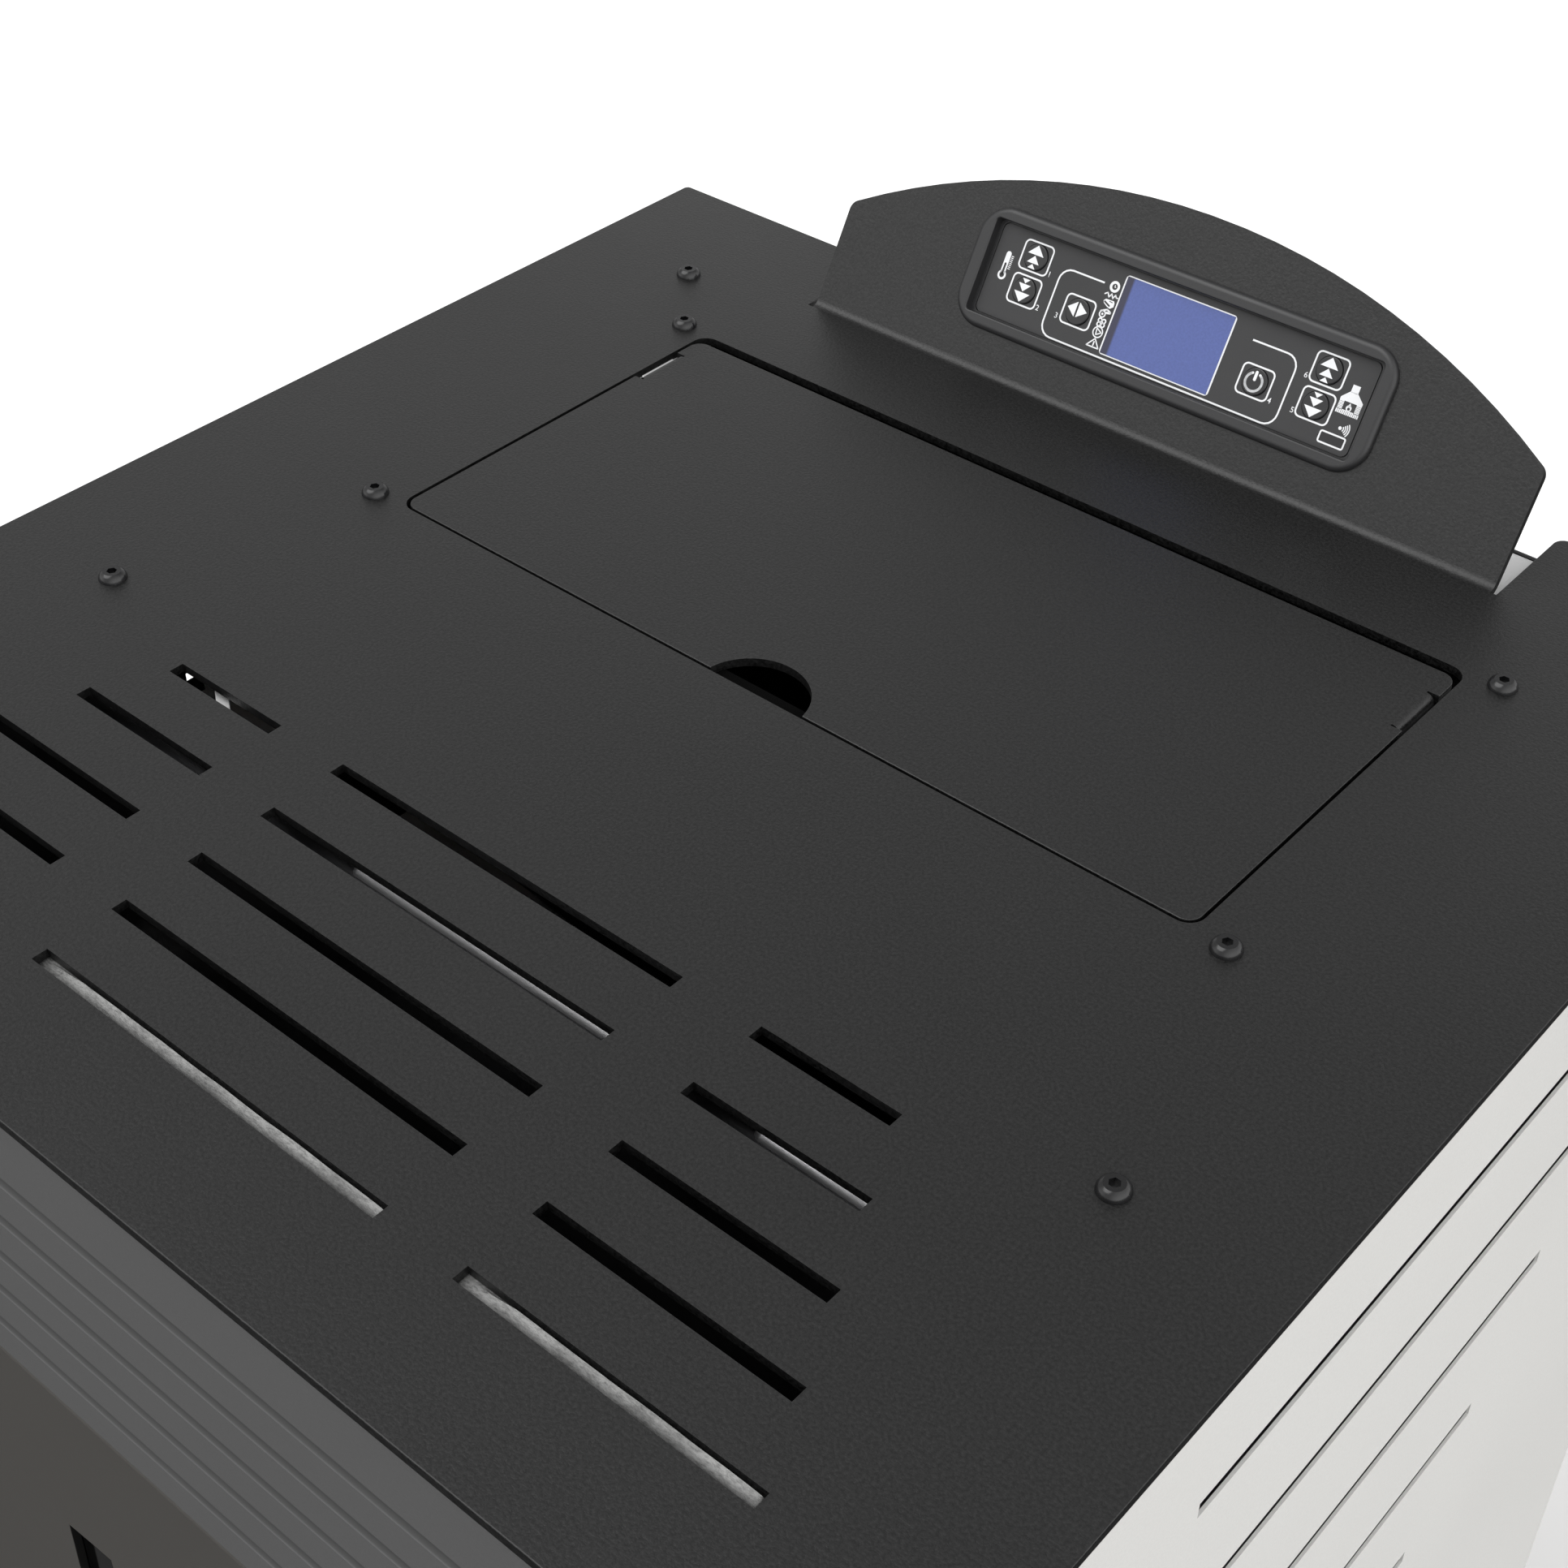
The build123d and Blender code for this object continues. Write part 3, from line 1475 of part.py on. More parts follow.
# ---- warm air duct: bright sheet with a front flange and a rolled back edge ----
with BuildPart() as convection_duct:
    with BuildSketch(Plane.XY.offset(duct_bottom)):
        with Locations((0, (duct_front + duct_back) / 2)):
            Rectangle(2 * duct_half, duct_back - duct_front)
            Rectangle(
                2 * (duct_half - duct_sheet),
                duct_back - duct_front - 2 * duct_sheet,
                mode=Mode.SUBTRACT,
            )
    extrude(amount=duct_flange_level - duct_bottom)
    slab(
        (-duct_half, duct_half),
        (duct_back - duct_sheet, duct_back),
        (duct_roll_level, duct_flange_level),
        mode=Mode.SUBTRACT,
    )
    slab(
        (-duct_half, duct_half),
        (duct_flange_front, duct_front + duct_sheet),
        (duct_flange_level - duct_sheet, duct_flange_level),
    )
    with BuildSketch(Plane.YZ):
        with Locations((duct_back + duct_roll - duct_sheet, duct_roll_level)):
            Circle(duct_roll)
            Circle(duct_roll - duct_sheet, mode=Mode.SUBTRACT)
    extrude(amount=duct_half, both=True)
write(convection_duct, "convection_duct")

# ---- smoke duct from the firebox to the exhaust fan ----
smoke_outline = [
    (box_back, smoke_top),
    (smoke_top_back, smoke_top),
    (smoke_back, smoke_back_top),
    (smoke_back, smoke_bottom),
    (smoke_bottom_front, smoke_bottom),
    (box_back, smoke_front_bottom),
]
with BuildPart() as smoke_duct:
    with BuildSketch(Plane.YZ.offset(smoke_near)):
        with BuildLine():
            Polyline(*smoke_outline, close=True)
        make_face()
    extrude(amount=fan_near - smoke_near)
    with BuildSketch(Plane.YZ.offset(smoke_near + smoke_sheet)):
        with BuildLine():
            Polyline(*smoke_outline, close=True)
        make_face()
        offset(amount=-smoke_sheet, kind=Kind.INTERSECTION, mode=Mode.REPLACE)
    extrude(amount=fan_near - smoke_near - 2 * smoke_sheet, mode=Mode.SUBTRACT)
    slab(
        (smoke_hole_near, smoke_hole_far),
        (box_back, box_back + smoke_sheet),
        (smoke_hole_low, smoke_hole_high),
        mode=Mode.SUBTRACT,
    )
    with BuildSketch(Plane.YZ.offset(fan_near - smoke_sheet)):
        with Locations((fan_y, fan_z)):
            Circle(fan_inlet)
    extrude(amount=smoke_sheet, mode=Mode.SUBTRACT)
write(smoke_duct, "smoke_duct")

# ---- exhaust fan: scroll housing, bladed wheel, motor, round spigot ----
fan_outlet_top = fan_z + fan_radius
with BuildPart() as exhaust_fan_housing:
    with BuildSketch(Plane.YZ.offset(fan_near)):
        with Locations((fan_y, fan_z)):
            Circle(fan_radius)
        with Locations(
            ((fan_y + fan_outlet_back) / 2, (fan_outlet_bottom + fan_outlet_top) / 2)
        ):
            Rectangle(fan_outlet_back - fan_y, fan_outlet_top - fan_outlet_bottom)
    extrude(amount=fan_far - fan_near)
    with BuildSketch(Plane.YZ.offset(fan_near + fan_wall)):
        with Locations((fan_y, fan_z)):
            Circle(fan_bore)
        with Locations(
            ((fan_y + fan_outlet_back) / 2, (fan_outlet_bottom + fan_outlet_top) / 2)
        ):
            Rectangle(fan_outlet_back - fan_y, fan_outlet_top - fan_outlet_bottom - 2 * fan_wall)
    extrude(amount=fan_far - fan_near - 2 * fan_wall, mode=Mode.SUBTRACT)
    with BuildSketch(Plane.YZ.offset(fan_near)):
        with Locations((fan_y, fan_z)):
            Circle(fan_inlet)
    extrude(amount=fan_wall, mode=Mode.SUBTRACT)
    with BuildSketch(Plane.YZ.offset(fan_far)):
        with Locations((fan_y, fan_z)):
            Circle(wheel_hub)
    extrude(amount=-fan_wall, mode=Mode.SUBTRACT)
write(exhaust_fan_housing, "exhaust_fan_housing")

fan_plane = Plane(origin=(wheel_near, fan_y, fan_z), x_dir=(0, 1, 0), z_dir=(1, 0, 0))
with BuildPart() as exhaust_impeller:
    with BuildSketch(fan_plane):
        with PolarLocations((wheel_radius + wheel_inner) / 2, wheel_blades):
            Rectangle(wheel_radius - wheel_inner, wheel_blade, rotation=wheel_blade_turn)
    extrude(amount=wheel_width)
    rod(fan_plane.offset(wheel_width), wheel_radius, wheel_plate)
    rod(fan_plane.offset(wheel_width / 2), wheel_hub - drawer_sheet, wheel_width / 2)
    rod(fan_plane.offset(wheel_width), fan_shaft, fan_shaft_reach - wheel_near - wheel_width)
write(exhaust_impeller, "exhaust_impeller")

with BuildPart() as exhaust_motor:
    fan_motor_plane = Plane(origin=(fan_far, fan_y, fan_z), x_dir=(0, 1, 0), z_dir=(1, 0, 0))
    rod(fan_motor_plane, fan_motor_flange, fan_motor_flange_sheet)
    rod(fan_motor_plane.offset(fan_motor_flange_sheet), fan_motor_radius, fan_motor_length)
    fillet(edges().group_by(Axis.X)[-1], hinge_leaf_sheet)
    rod(
        fan_motor_plane,
        fan_shaft + running_gap,
        fan_shaft_reach - fan_far + drawer_sheet,
        mode=Mode.SUBTRACT,
    )
write(exhaust_motor, "exhaust_motor")

with BuildPart() as flue_spigot:
    with BuildSketch(Plane.XZ.offset(-fan_outlet_back)):
        with Locations((spigot_x, spigot_z)):
            RectangleRounded(2 * spigot_flange_half, 2 * spigot_flange_half, front_corner)
    extrude(amount=-spigot_flange_sheet)
    spigot_plane = Plane(
        origin=(spigot_x, fan_outlet_back + spigot_flange_sheet, spigot_z),
        x_dir=(1, 0, 0),
        z_dir=(0, 1, 0),
    )
    rod(
        spigot_plane,
        spigot_radius - pipe_step,
        outer_start - fan_outlet_back - spigot_flange_sheet,
    )
    rod(
        Plane(origin=(spigot_x, outer_start, spigot_z), x_dir=(1, 0, 0), z_dir=(0, 1, 0)),
        spigot_radius,
        reach - outer_start,
    )
    rod(
        spigot_plane,
        spigot_bore,
        reach - fan_outlet_back - spigot_flange_sheet,
        mode=Mode.SUBTRACT,
    )
    slab(
        (fan_near + fan_wall, fan_far - fan_wall),
        (fan_outlet_back, fan_outlet_back + spigot_flange_sheet),
        (fan_outlet_bottom + fan_wall, fan_outlet_top - fan_wall),
        mode=Mode.SUBTRACT,
    )
write(flue_spigot, "flue_spigot")

# ---- combustion air pipe from the rear panel to the pot holder ----
with BuildPart() as air_intake_pipe:
    air_plane = Plane(origin=(pipe_x, pipe_front, pipe_z), x_dir=(1, 0, 0), z_dir=(0, 1, 0))
    rod(air_plane, pipe_radius - pipe_step, outer_start - pipe_front)
    rod(
        Plane(origin=(pipe_x, outer_start, pipe_z), x_dir=(1, 0, 0), z_dir=(0, 1, 0)),
        pipe_radius,
        pipe_back - outer_start,
    )
    rod(air_plane, pipe_bore, pipe_back - pipe_front, mode=Mode.SUBTRACT)
write(air_intake_pipe, "air_intake_pipe")

# ---- room air blower: scroll, cage wheel, motor ----
blower_width = blower_near - blower_far
outlet_back_y = blower_y + blower_radius
with BuildPart() as blower_housing:
    with BuildSketch(Plane.YZ.offset(blower_far)):
        with Locations((blower_y, blower_z)):
            Circle(blower_radius)
        with Locations(
            ((blower_y + outlet_back_y) / 2, (blower_z + blower_outlet_top) / 2)
        ):
            Rectangle(blower_radius, blower_outlet_top - blower_z)
    extrude(amount=blower_width)
    with BuildSketch(Plane.YZ.offset(blower_far + blower_wall)):
        with Locations((blower_y, blower_z)):
            Circle(blower_bore)
        with Locations(
            ((blower_y + outlet_back_y) / 2, (blower_z + blower_outlet_top) / 2)
        ):
            Rectangle(blower_radius - 2 * blower_wall, blower_outlet_top - blower_z)
    extrude(amount=blower_width - 2 * blower_wall, mode=Mode.SUBTRACT)
    with BuildSketch(Plane.YZ.offset(blower_far)):
        with Locations((blower_y, blower_z)):
            Circle(blower_mouth)
    extrude(amount=blower_wall, mode=Mode.SUBTRACT)
    with BuildSketch(Plane.YZ.offset(blower_near)):
        with Locations((blower_y, blower_z)):
            Circle(cage_hub + hole_gap)
    extrude(amount=-blower_wall, mode=Mode.SUBTRACT)
write(blower_housing, "blower_housing")

cage_plane = Plane(origin=(cage_near, blower_y, blower_z), x_dir=(0, 1, 0), z_dir=(-1, 0, 0))
with BuildPart() as blower_wheel:
    with BuildSketch(cage_plane):
        with PolarLocations((cage_radius + cage_inner) / 2, cage_blades):
            Rectangle(cage_radius - cage_inner, cage_blade, rotation=cage_blade_turn)
    extrude(amount=cage_width)
    rod(cage_plane, cage_radius, cage_ring)
    with BuildSketch(cage_plane.offset(cage_width - cage_ring)):
        Circle(cage_radius)
        Circle(cage_inner, mode=Mode.SUBTRACT)
    extrude(amount=cage_ring)
    rod(cage_plane, cage_hub, cage_width / 2)
    rod(cage_plane, blower_shaft, cage_near - blower_shaft_reach)
write(blower_wheel, "blower_wheel")

with BuildPart() as blower_motor:
    blower_motor_plane = Plane(
        origin=(blower_near, blower_y, blower_z), x_dir=(0, 1, 0), z_dir=(1, 0, 0)
    )
    rod(blower_motor_plane, blower_motor_flange, blower_motor_flange_sheet)
    rod(
        blower_motor_plane.offset(blower_motor_flange_sheet),
        blower_motor_radius,
        blower_motor_length,
    )
    fillet(edges().group_by(Axis.X)[-1], hinge_leaf_sheet)
    rod(
        blower_motor_plane,
        blower_shaft + running_gap,
        blower_shaft_reach - blower_near + drawer_sheet,
        mode=Mode.SUBTRACT,
    )
write(blower_motor, "blower_motor")

# ---- control bezel, keypad face, display window and the keys, on the tilted bracket ----
with BuildPart() as control_bezel:
    with BuildSketch(control_plane):
        with Locations(bezel_middle):
            RectangleRounded(bezel_width, bezel_height, bezel_corner)
    extrude(amount=bezel_rise)
    rim = faces().sort_by(Axis(origin=(0, 0, 0), direction=control_plane.z_dir))[-1]
    fillet(rim.edges(), bezel_edge)
    with BuildSketch(control_plane):
        with Locations(bezel_middle):
            RectangleRounded(collar_width, collar_height, collar_corner)
    extrude(amount=-bezel_depth)
    with BuildSketch(control_plane.offset(face_level - ledge_drop)):
        with Locations(bezel_middle):
            RectangleRounded(recess_width, recess_height, recess_corner)
    extrude(amount=bezel_depth + bezel_rise, mode=Mode.SUBTRACT)
    with BuildSketch(control_plane.offset(face_level - face_sheet)):
        with Locations(bezel_middle):
            RectangleRounded(pocket_width, pocket_height, face_corner)
    extrude(amount=bezel_depth + bezel_rise, mode=Mode.SUBTRACT)
    with BuildSketch(control_plane.offset(-bezel_depth)):
        with Locations(bezel_middle):
            Rectangle(pocket_width - 2 * face_seat, pocket_height - 2 * face_seat)
    extrude(amount=bezel_depth + bezel_rise, mode=Mode.SUBTRACT)
    rim = faces().sort_by(Axis(origin=(0, 0, 0), direction=control_plane.z_dir))[-1]
    fillet(rim.inner_wires()[0].edges(), bezel_lip)
write(control_bezel, "control_bezel")

key_spots = {
    "key_1": (bezel_x - key_outer, key_high),
    "key_2": (bezel_x - key_outer, key_low),
    "key_3": (bezel_x - key_inner, key_low),
    "key_4": (bezel_x + key_inner, key_low),
    "key_5": (bezel_x + key_outer, key_low),
    "key_6": (bezel_x + key_outer, key_high),
}
display_centre = (display_x, display_up)

with BuildPart() as keypad_face:
    with BuildSketch(control_plane.offset(face_level)):
        with Locations(bezel_middle):
            RectangleRounded(
                pocket_width - 2 * face_gap, pocket_height - 2 * face_gap, face_corner
            )
        with Locations(display_centre):
            Rectangle(
                display_width + collar_gap, display_height + collar_gap, mode=Mode.SUBTRACT
            )
        with Locations(*key_spots.values()):
            Circle(key_radius + key_gap, mode=Mode.SUBTRACT)
    extrude(amount=-face_sheet)
write(keypad_face, "keypad_face")

with BuildPart() as display_window:
    with BuildSketch(control_plane.offset(face_level + display_rise)):
        with Locations(display_centre):
            Rectangle(display_width, display_height)
    extrude(amount=board_level - face_level - display_rise)
write(display_window, "display_window")

key_top = face_level + key_rise
for key_name, key_spot in key_spots.items():
    with BuildPart() as key:
        with BuildSketch(control_plane.offset(key_top - key_depth)):
            with Locations(key_spot):
                Circle(key_radius)
        extrude(amount=key_depth)
        key_face = faces().sort_by(Axis(origin=(0, 0, 0), direction=control_plane.z_dir))[-1]
        fillet(key_face.edges(), key_dome)
        with BuildSketch(control_plane.offset(key_top - key_depth)):
            with Locations(key_spot):
                Circle(key_radius + key_skirt)
        extrude(amount=-key_skirt_sheet)
    write(key, key_name)

with BuildPart() as display_housing:
    with BuildSketch(control_plane.offset(-plate_sheet)):
        with Locations(bezel_middle):
            RectangleRounded(housing_width, housing_height, housing_corner)
    extrude(amount=-housing_depth)
    hood = faces().sort_by(Axis(origin=(0, 0, 0), direction=control_plane.z_dir))[0]
    fillet(hood.edges(), hinge_leaf_sheet)
    with BuildSketch(control_plane.offset(-plate_sheet)):
        with Locations(bezel_middle):
            RectangleRounded(
                housing_width - 2 * housing_wall,
                housing_height - 2 * housing_wall,
                housing_inner_corner,
            )
    extrude(amount=housing_wall - housing_depth, mode=Mode.SUBTRACT)
    with BuildSketch(control_plane.offset(board_level)):
        with Locations(bezel_middle):
            Rectangle(housing_width - housing_wall, housing_height - housing_wall)
    extrude(amount=-board_sheet)
write(display_housing, "display_housing")

# ---- power inlet: appliance inlet and switch frame in one moulding, and its rocker ----
with BuildPart() as power_inlet:
    with BuildSketch(Plane.XZ.offset(-rear_out)):
        with Locations((inlet_x, inlet_z)):
            RectangleRounded(inlet_width, inlet_height, inlet_corner)
    extrude(amount=-inlet_flange)
    with BuildSketch(Plane.XZ.offset(-rear_out)):
        with Locations((inlet_x, inlet_z)):
            Rectangle(inlet_body_width - collar_gap, inlet_body_height - collar_gap)
    extrude(amount=inlet_depth)
    with BuildSketch(Plane.XZ.offset(-rear_out - inlet_flange)):
        with Locations((inlet_x, socket_z)):
            RectangleRounded(socket_width, socket_height, socket_corner)
    extrude(amount=socket_depth, mode=Mode.SUBTRACT)
    with BuildSketch(Plane.XZ.offset(socket_depth - rear_out - inlet_flange)):
        with Locations(
            (inlet_x - socket_pin_pitch, socket_z - socket_pin_rise),
            (inlet_x, socket_z + socket_pin_rise),
            (inlet_x + socket_pin_pitch, socket_z - socket_pin_rise),
        ):
            Rectangle(socket_pin_width, socket_pin_height)
    extrude(amount=-socket_pin_length)
    with BuildSketch(Plane.XZ.offset(-rear_out - inlet_flange)):
        with Locations((inlet_x, rocker_z)):
            Rectangle(rocker_width + 2 * rocker_gap, rocker_height + 2 * rocker_gap)
    extrude(amount=rocker_window_depth, mode=Mode.SUBTRACT)
    rocker_axis_y = rear_out + inlet_flange - rocker_depth / 2
    rod(
        Plane(
            origin=(inlet_x - inlet_body_width / 2 + collar_gap, rocker_axis_y, rocker_z),
            z_dir=(1, 0, 0),
        ),
        rocker_pin,
        inlet_body_width - 2 * collar_gap,
    )
write(power_inlet, "power_inlet")

with BuildPart() as power_rocker:
    rocker_face = rear_out + inlet_flange
    rocker_low = rocker_z - rocker_height / 2
    rocker_high = rocker_z + rocker_height / 2
    with BuildSketch(Plane.YZ.offset(inlet_x - rocker_width / 2)):
        with BuildLine():
            Polyline(
                (rocker_face + rocker_crown, rocker_low + rocker_crown),
                (rocker_axis_y - rocker_pin, rocker_z - rocker_pin - rocker_crown),
                (rocker_axis_y - rocker_pin, rocker_z + rocker_pin + rocker_crown),
                (rocker_face - rocker_crown, rocker_high - rocker_crown / 2),
                (rocker_face, rocker_high - rocker_crown),
                (rocker_face - rocker_crown / 2, rocker_z),
                close=True,
            )
        make_face()
        with Locations((rocker_axis_y, rocker_z)):
            Circle(rocker_pin + running_gap, mode=Mode.SUBTRACT)
    extrude(amount=rocker_width)
write(power_rocker, "power_rocker")

# ---- control board on posts on the left side panel ----
with BuildPart() as control_board:
    board_outer = pcb_post - pcb_outer
    slab(
        (board_outer, board_outer + pcb_sheet),
        (pcb_front, pcb_back),
        (pcb_bottom, pcb_top),
    )
    post_spots = [
        (y, z)
        for y in (pcb_front + pcb_post_inset, pcb_back - pcb_post_inset)
        for z in (pcb_bottom + pcb_post_inset, pcb_top - pcb_post_inset)
    ]
    for y, z in post_spots:
        rod(
            Plane(origin=(-pcb_outer, y, z), z_dir=(1, 0, 0)),
            pcb_post_radius,
            pcb_post,
        )
    components = board_outer + pcb_sheet
    slab(
        (components, components + transformer_height),
        (transformer_front, transformer_back),
        (transformer_bottom, transformer_top),
    )
    for relay in range(relay_count):
        relay_near = relay_front + relay * relay_pitch
        relay_limits = (relay_near, relay_near + relay_length)
        slab((components, components + relay_height), relay_limits, (relay_bottom, relay_top))
    slab(
        (components, components + terminal_height),
        (terminal_front, terminal_back),
        (terminal_bottom, terminal_top),
    )
    rod(
        Plane(origin=(components, capacitor_y, capacitor_z), z_dir=(1, 0, 0)),
        capacitor_radius,
        capacitor_height,
    )
write(control_board, "control_board")
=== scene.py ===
"""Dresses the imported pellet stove: finishes, keypad print, inner sheets, studio and camera.

Lengths are metres in the stove's own frame: origin on the floor under the middle of the
top plate, +X to the right of someone facing the stove, +Y towards the wall, +Z up.
"""

from __future__ import annotations

import logging
import math
from dataclasses import dataclass, field
from enum import Enum

import bpy
from mathutils import Matrix, Vector


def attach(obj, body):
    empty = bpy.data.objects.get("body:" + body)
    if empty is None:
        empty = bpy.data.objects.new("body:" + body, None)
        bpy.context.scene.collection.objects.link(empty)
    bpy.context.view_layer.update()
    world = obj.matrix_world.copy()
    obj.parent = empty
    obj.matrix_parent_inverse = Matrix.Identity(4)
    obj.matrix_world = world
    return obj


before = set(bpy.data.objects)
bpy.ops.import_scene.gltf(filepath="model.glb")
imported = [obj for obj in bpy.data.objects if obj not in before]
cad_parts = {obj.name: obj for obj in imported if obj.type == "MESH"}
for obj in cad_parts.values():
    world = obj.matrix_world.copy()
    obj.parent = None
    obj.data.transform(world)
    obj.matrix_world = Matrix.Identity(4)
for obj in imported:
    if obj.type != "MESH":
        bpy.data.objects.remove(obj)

Colour = tuple[float, float, float]
Point = tuple[float, float]
Spot = tuple[float, float, float]
Piece = bpy.types.Object
Node = bpy.types.Node
Socket = bpy.types.NodeSocket
Tree = bpy.types.NodeTree
Feed = Socket | float | tuple[float, ...]

LOG = logging.getLogger("pellet_stove")
MM = 0.001
UNIT: Point = (0.0, 1.0)
BOTH_WAYS: Point = (-1.0, 1.0)
NOISE_SPAN: Point = (0.3, 0.7)  # the part of a noise's range that its values really fill
SMOOTH_BELOW = math.radians(40)


def shade(value: float) -> float:
    """Turns a display value from 0 to 255 into linear light, by the sRGB curve."""
    part = value / 255
    return part / 12.92 if part <= 0.04045 else ((part + 0.055) / 1.055) ** 2.4


def tint(red: float, green: float, blue: float) -> Colour:
    """Turns three display values from 0 to 255 into a linear colour."""
    return shade(red), shade(green), shade(blue)


def grey(level: float) -> Colour:
    """Turns one display value from 0 to 255 into a neutral linear colour."""
    return tint(level, level, level)


# ---------------------------------------------------------------- shader plumbing


class Maths(Enum):
    """The sums that a maths node does here."""

    ADD = "ADD"
    TIMES = "MULTIPLY"
    LARGER = "MAXIMUM"


class Axis(Enum):
    """The axes of the stove's frame."""

    X = "X"
    Y = "Y"
    Z = "Z"


class Shader:
    """A small builder for one node tree: adds nodes, sets their inputs, links them."""

    column_width: int = 190
    row_height: int = 220
    rows: int = 4

    def __init__(self, tree: Tree) -> None:
        """Keeps the tree that the nodes go into."""
        self.tree = tree
        self.column = 0

    def node(self, kind: str, **settings: object) -> Node:
        """Adds a node and sets its properties.

        Args:
            kind: Blender's class name of the node, without the ShaderNode prefix.
            **settings: properties of the node by name.

        Returns:
            The new node.
        """
        name = kind if kind.startswith("NodeGroup") else f"ShaderNode{kind}"
        made = self.tree.nodes.new(name)
        row = len(self.tree.nodes) % self.rows
        made.location = (self.column * self.column_width, -row * self.row_height)
        self.column += 1
        for key, value in settings.items():
            setattr(made, key, value)
        return made

    def plug(self, value: Feed, socket: Socket) -> None:
        """Links another node's output to an input, or sets the input to a plain value.

        Args:
            value: an output socket, a number or a tuple; a colour may leave out its alpha.
            socket: the input that receives it.
        """
        if isinstance(value, Socket):
            self.tree.links.new(value, socket)
        elif socket.type == "RGBA" and len(value) == 3:
            socket.default_value = (*value, 1)
        else:
            socket.default_value = value

    def feed(self, made: Node, **inputs: Feed) -> Node:
        """Sets or links inputs of a node.

        Args:
            made: the node that receives.
            **inputs: values by input name, with its spaces written as underscores.

        Returns:
            The same node.
        """
        for key, value in inputs.items():
            self.plug(value, made.inputs[key.replace("_", " ")])
        return made

    def place(self, scale: Feed = (1.0, 1.0, 1.0)) -> Socket:
        """Gives Object coordinates stretched by a scale along each axis."""
        where = self.node("TexCoord").outputs["Object"]
        return self.feed(self.node("Mapping"), Vector=where, Scale=scale).outputs["Vector"]

    def part(self, vector: Socket, axis: Axis) -> Socket:
        """Gives the part of a vector along one axis."""
        return self.feed(self.node("SeparateXYZ"), Vector=vector).outputs[axis.value]

    def axis(self, axis: Axis) -> Socket:
        """Gives one Object coordinate, in metres."""
        return self.part(self.place(), axis)

    def noise(
        self, vector: Socket, scale: Feed, detail: float = 2.0, rough: float = 0.5
    ) -> Socket:
        """Adds a noise texture.

        Args:
            vector: where it is read.
            scale: how fine it is, in cells per metre.
            detail: how many finer layers it has.
            rough: how strong the finer layers are.

        Returns:
            The noise's value.
        """
        made = self.node("TexNoise")
        self.feed(made, Vector=vector, Scale=scale, Detail=detail, Roughness=rough)
        return made.outputs["Fac"]

    def spread(self, value: Socket, source: Point, target: tuple[Feed, Feed] = UNIT) -> Socket:
        """Maps a value from one range to another, clamped at its ends.

        Args:
            value: the value.
            source: the range that it comes from.
            target: the range that it goes to.

        Returns:
            The mapped value.
        """
        made = self.node("MapRange")
        self.feed(made, Value=value, From_Min=source[0], From_Max=source[1])
        self.feed(made, To_Min=target[0], To_Max=target[1])
        return made.outputs["Result"]

    def blend(self, factor: Socket, first: Feed, second: Feed) -> Socket:
        """Mixes two colours, whose sockets go by number as a Mix node repeats their names.

        Args:
            factor: the share of the second colour.
            first: the colour where the factor is 0.
            second: the colour where the factor is 1.

        Returns:
            The mixed colour.
        """
        made = self.node("Mix", data_type="RGBA")
        for value, number in ((factor, 0), (first, 6), (second, 7)):
            self.plug(value, made.inputs[number])
        return made.outputs[2]

    def maths(self, operation: Maths, *values: Feed) -> Socket:
        """Adds a maths node.

        Args:
            operation: the sum that it does.
            *values: the two values that it works on.

        Returns:
            Its result.
        """
        made = self.node("Math", operation=operation.value)
        for value, socket in zip(values, made.inputs):
            self.plug(value, socket)
        return made.outputs[0]

    def add(self, first: Feed, second: Feed) -> Socket:
        """Adds two values."""
        return self.maths(Maths.ADD, first, second)

    def times(self, first: Feed, second: Feed) -> Socket:
        """Multiplies two values."""
        return self.maths(Maths.TIMES, first, second)


class Effect(Enum):
    """The shared surface effects, each a node group that is built once."""

    GRAIN = "powder_grain"
    SMUDGE = "handling_smudge"
    ROLLED = "rolled_streaks"
    DUST = "settled_dust"


class Kind(Enum):
    """What a group's socket carries."""

    NUMBER = "NodeSocketFloat"
    COLOUR = "NodeSocketColor"


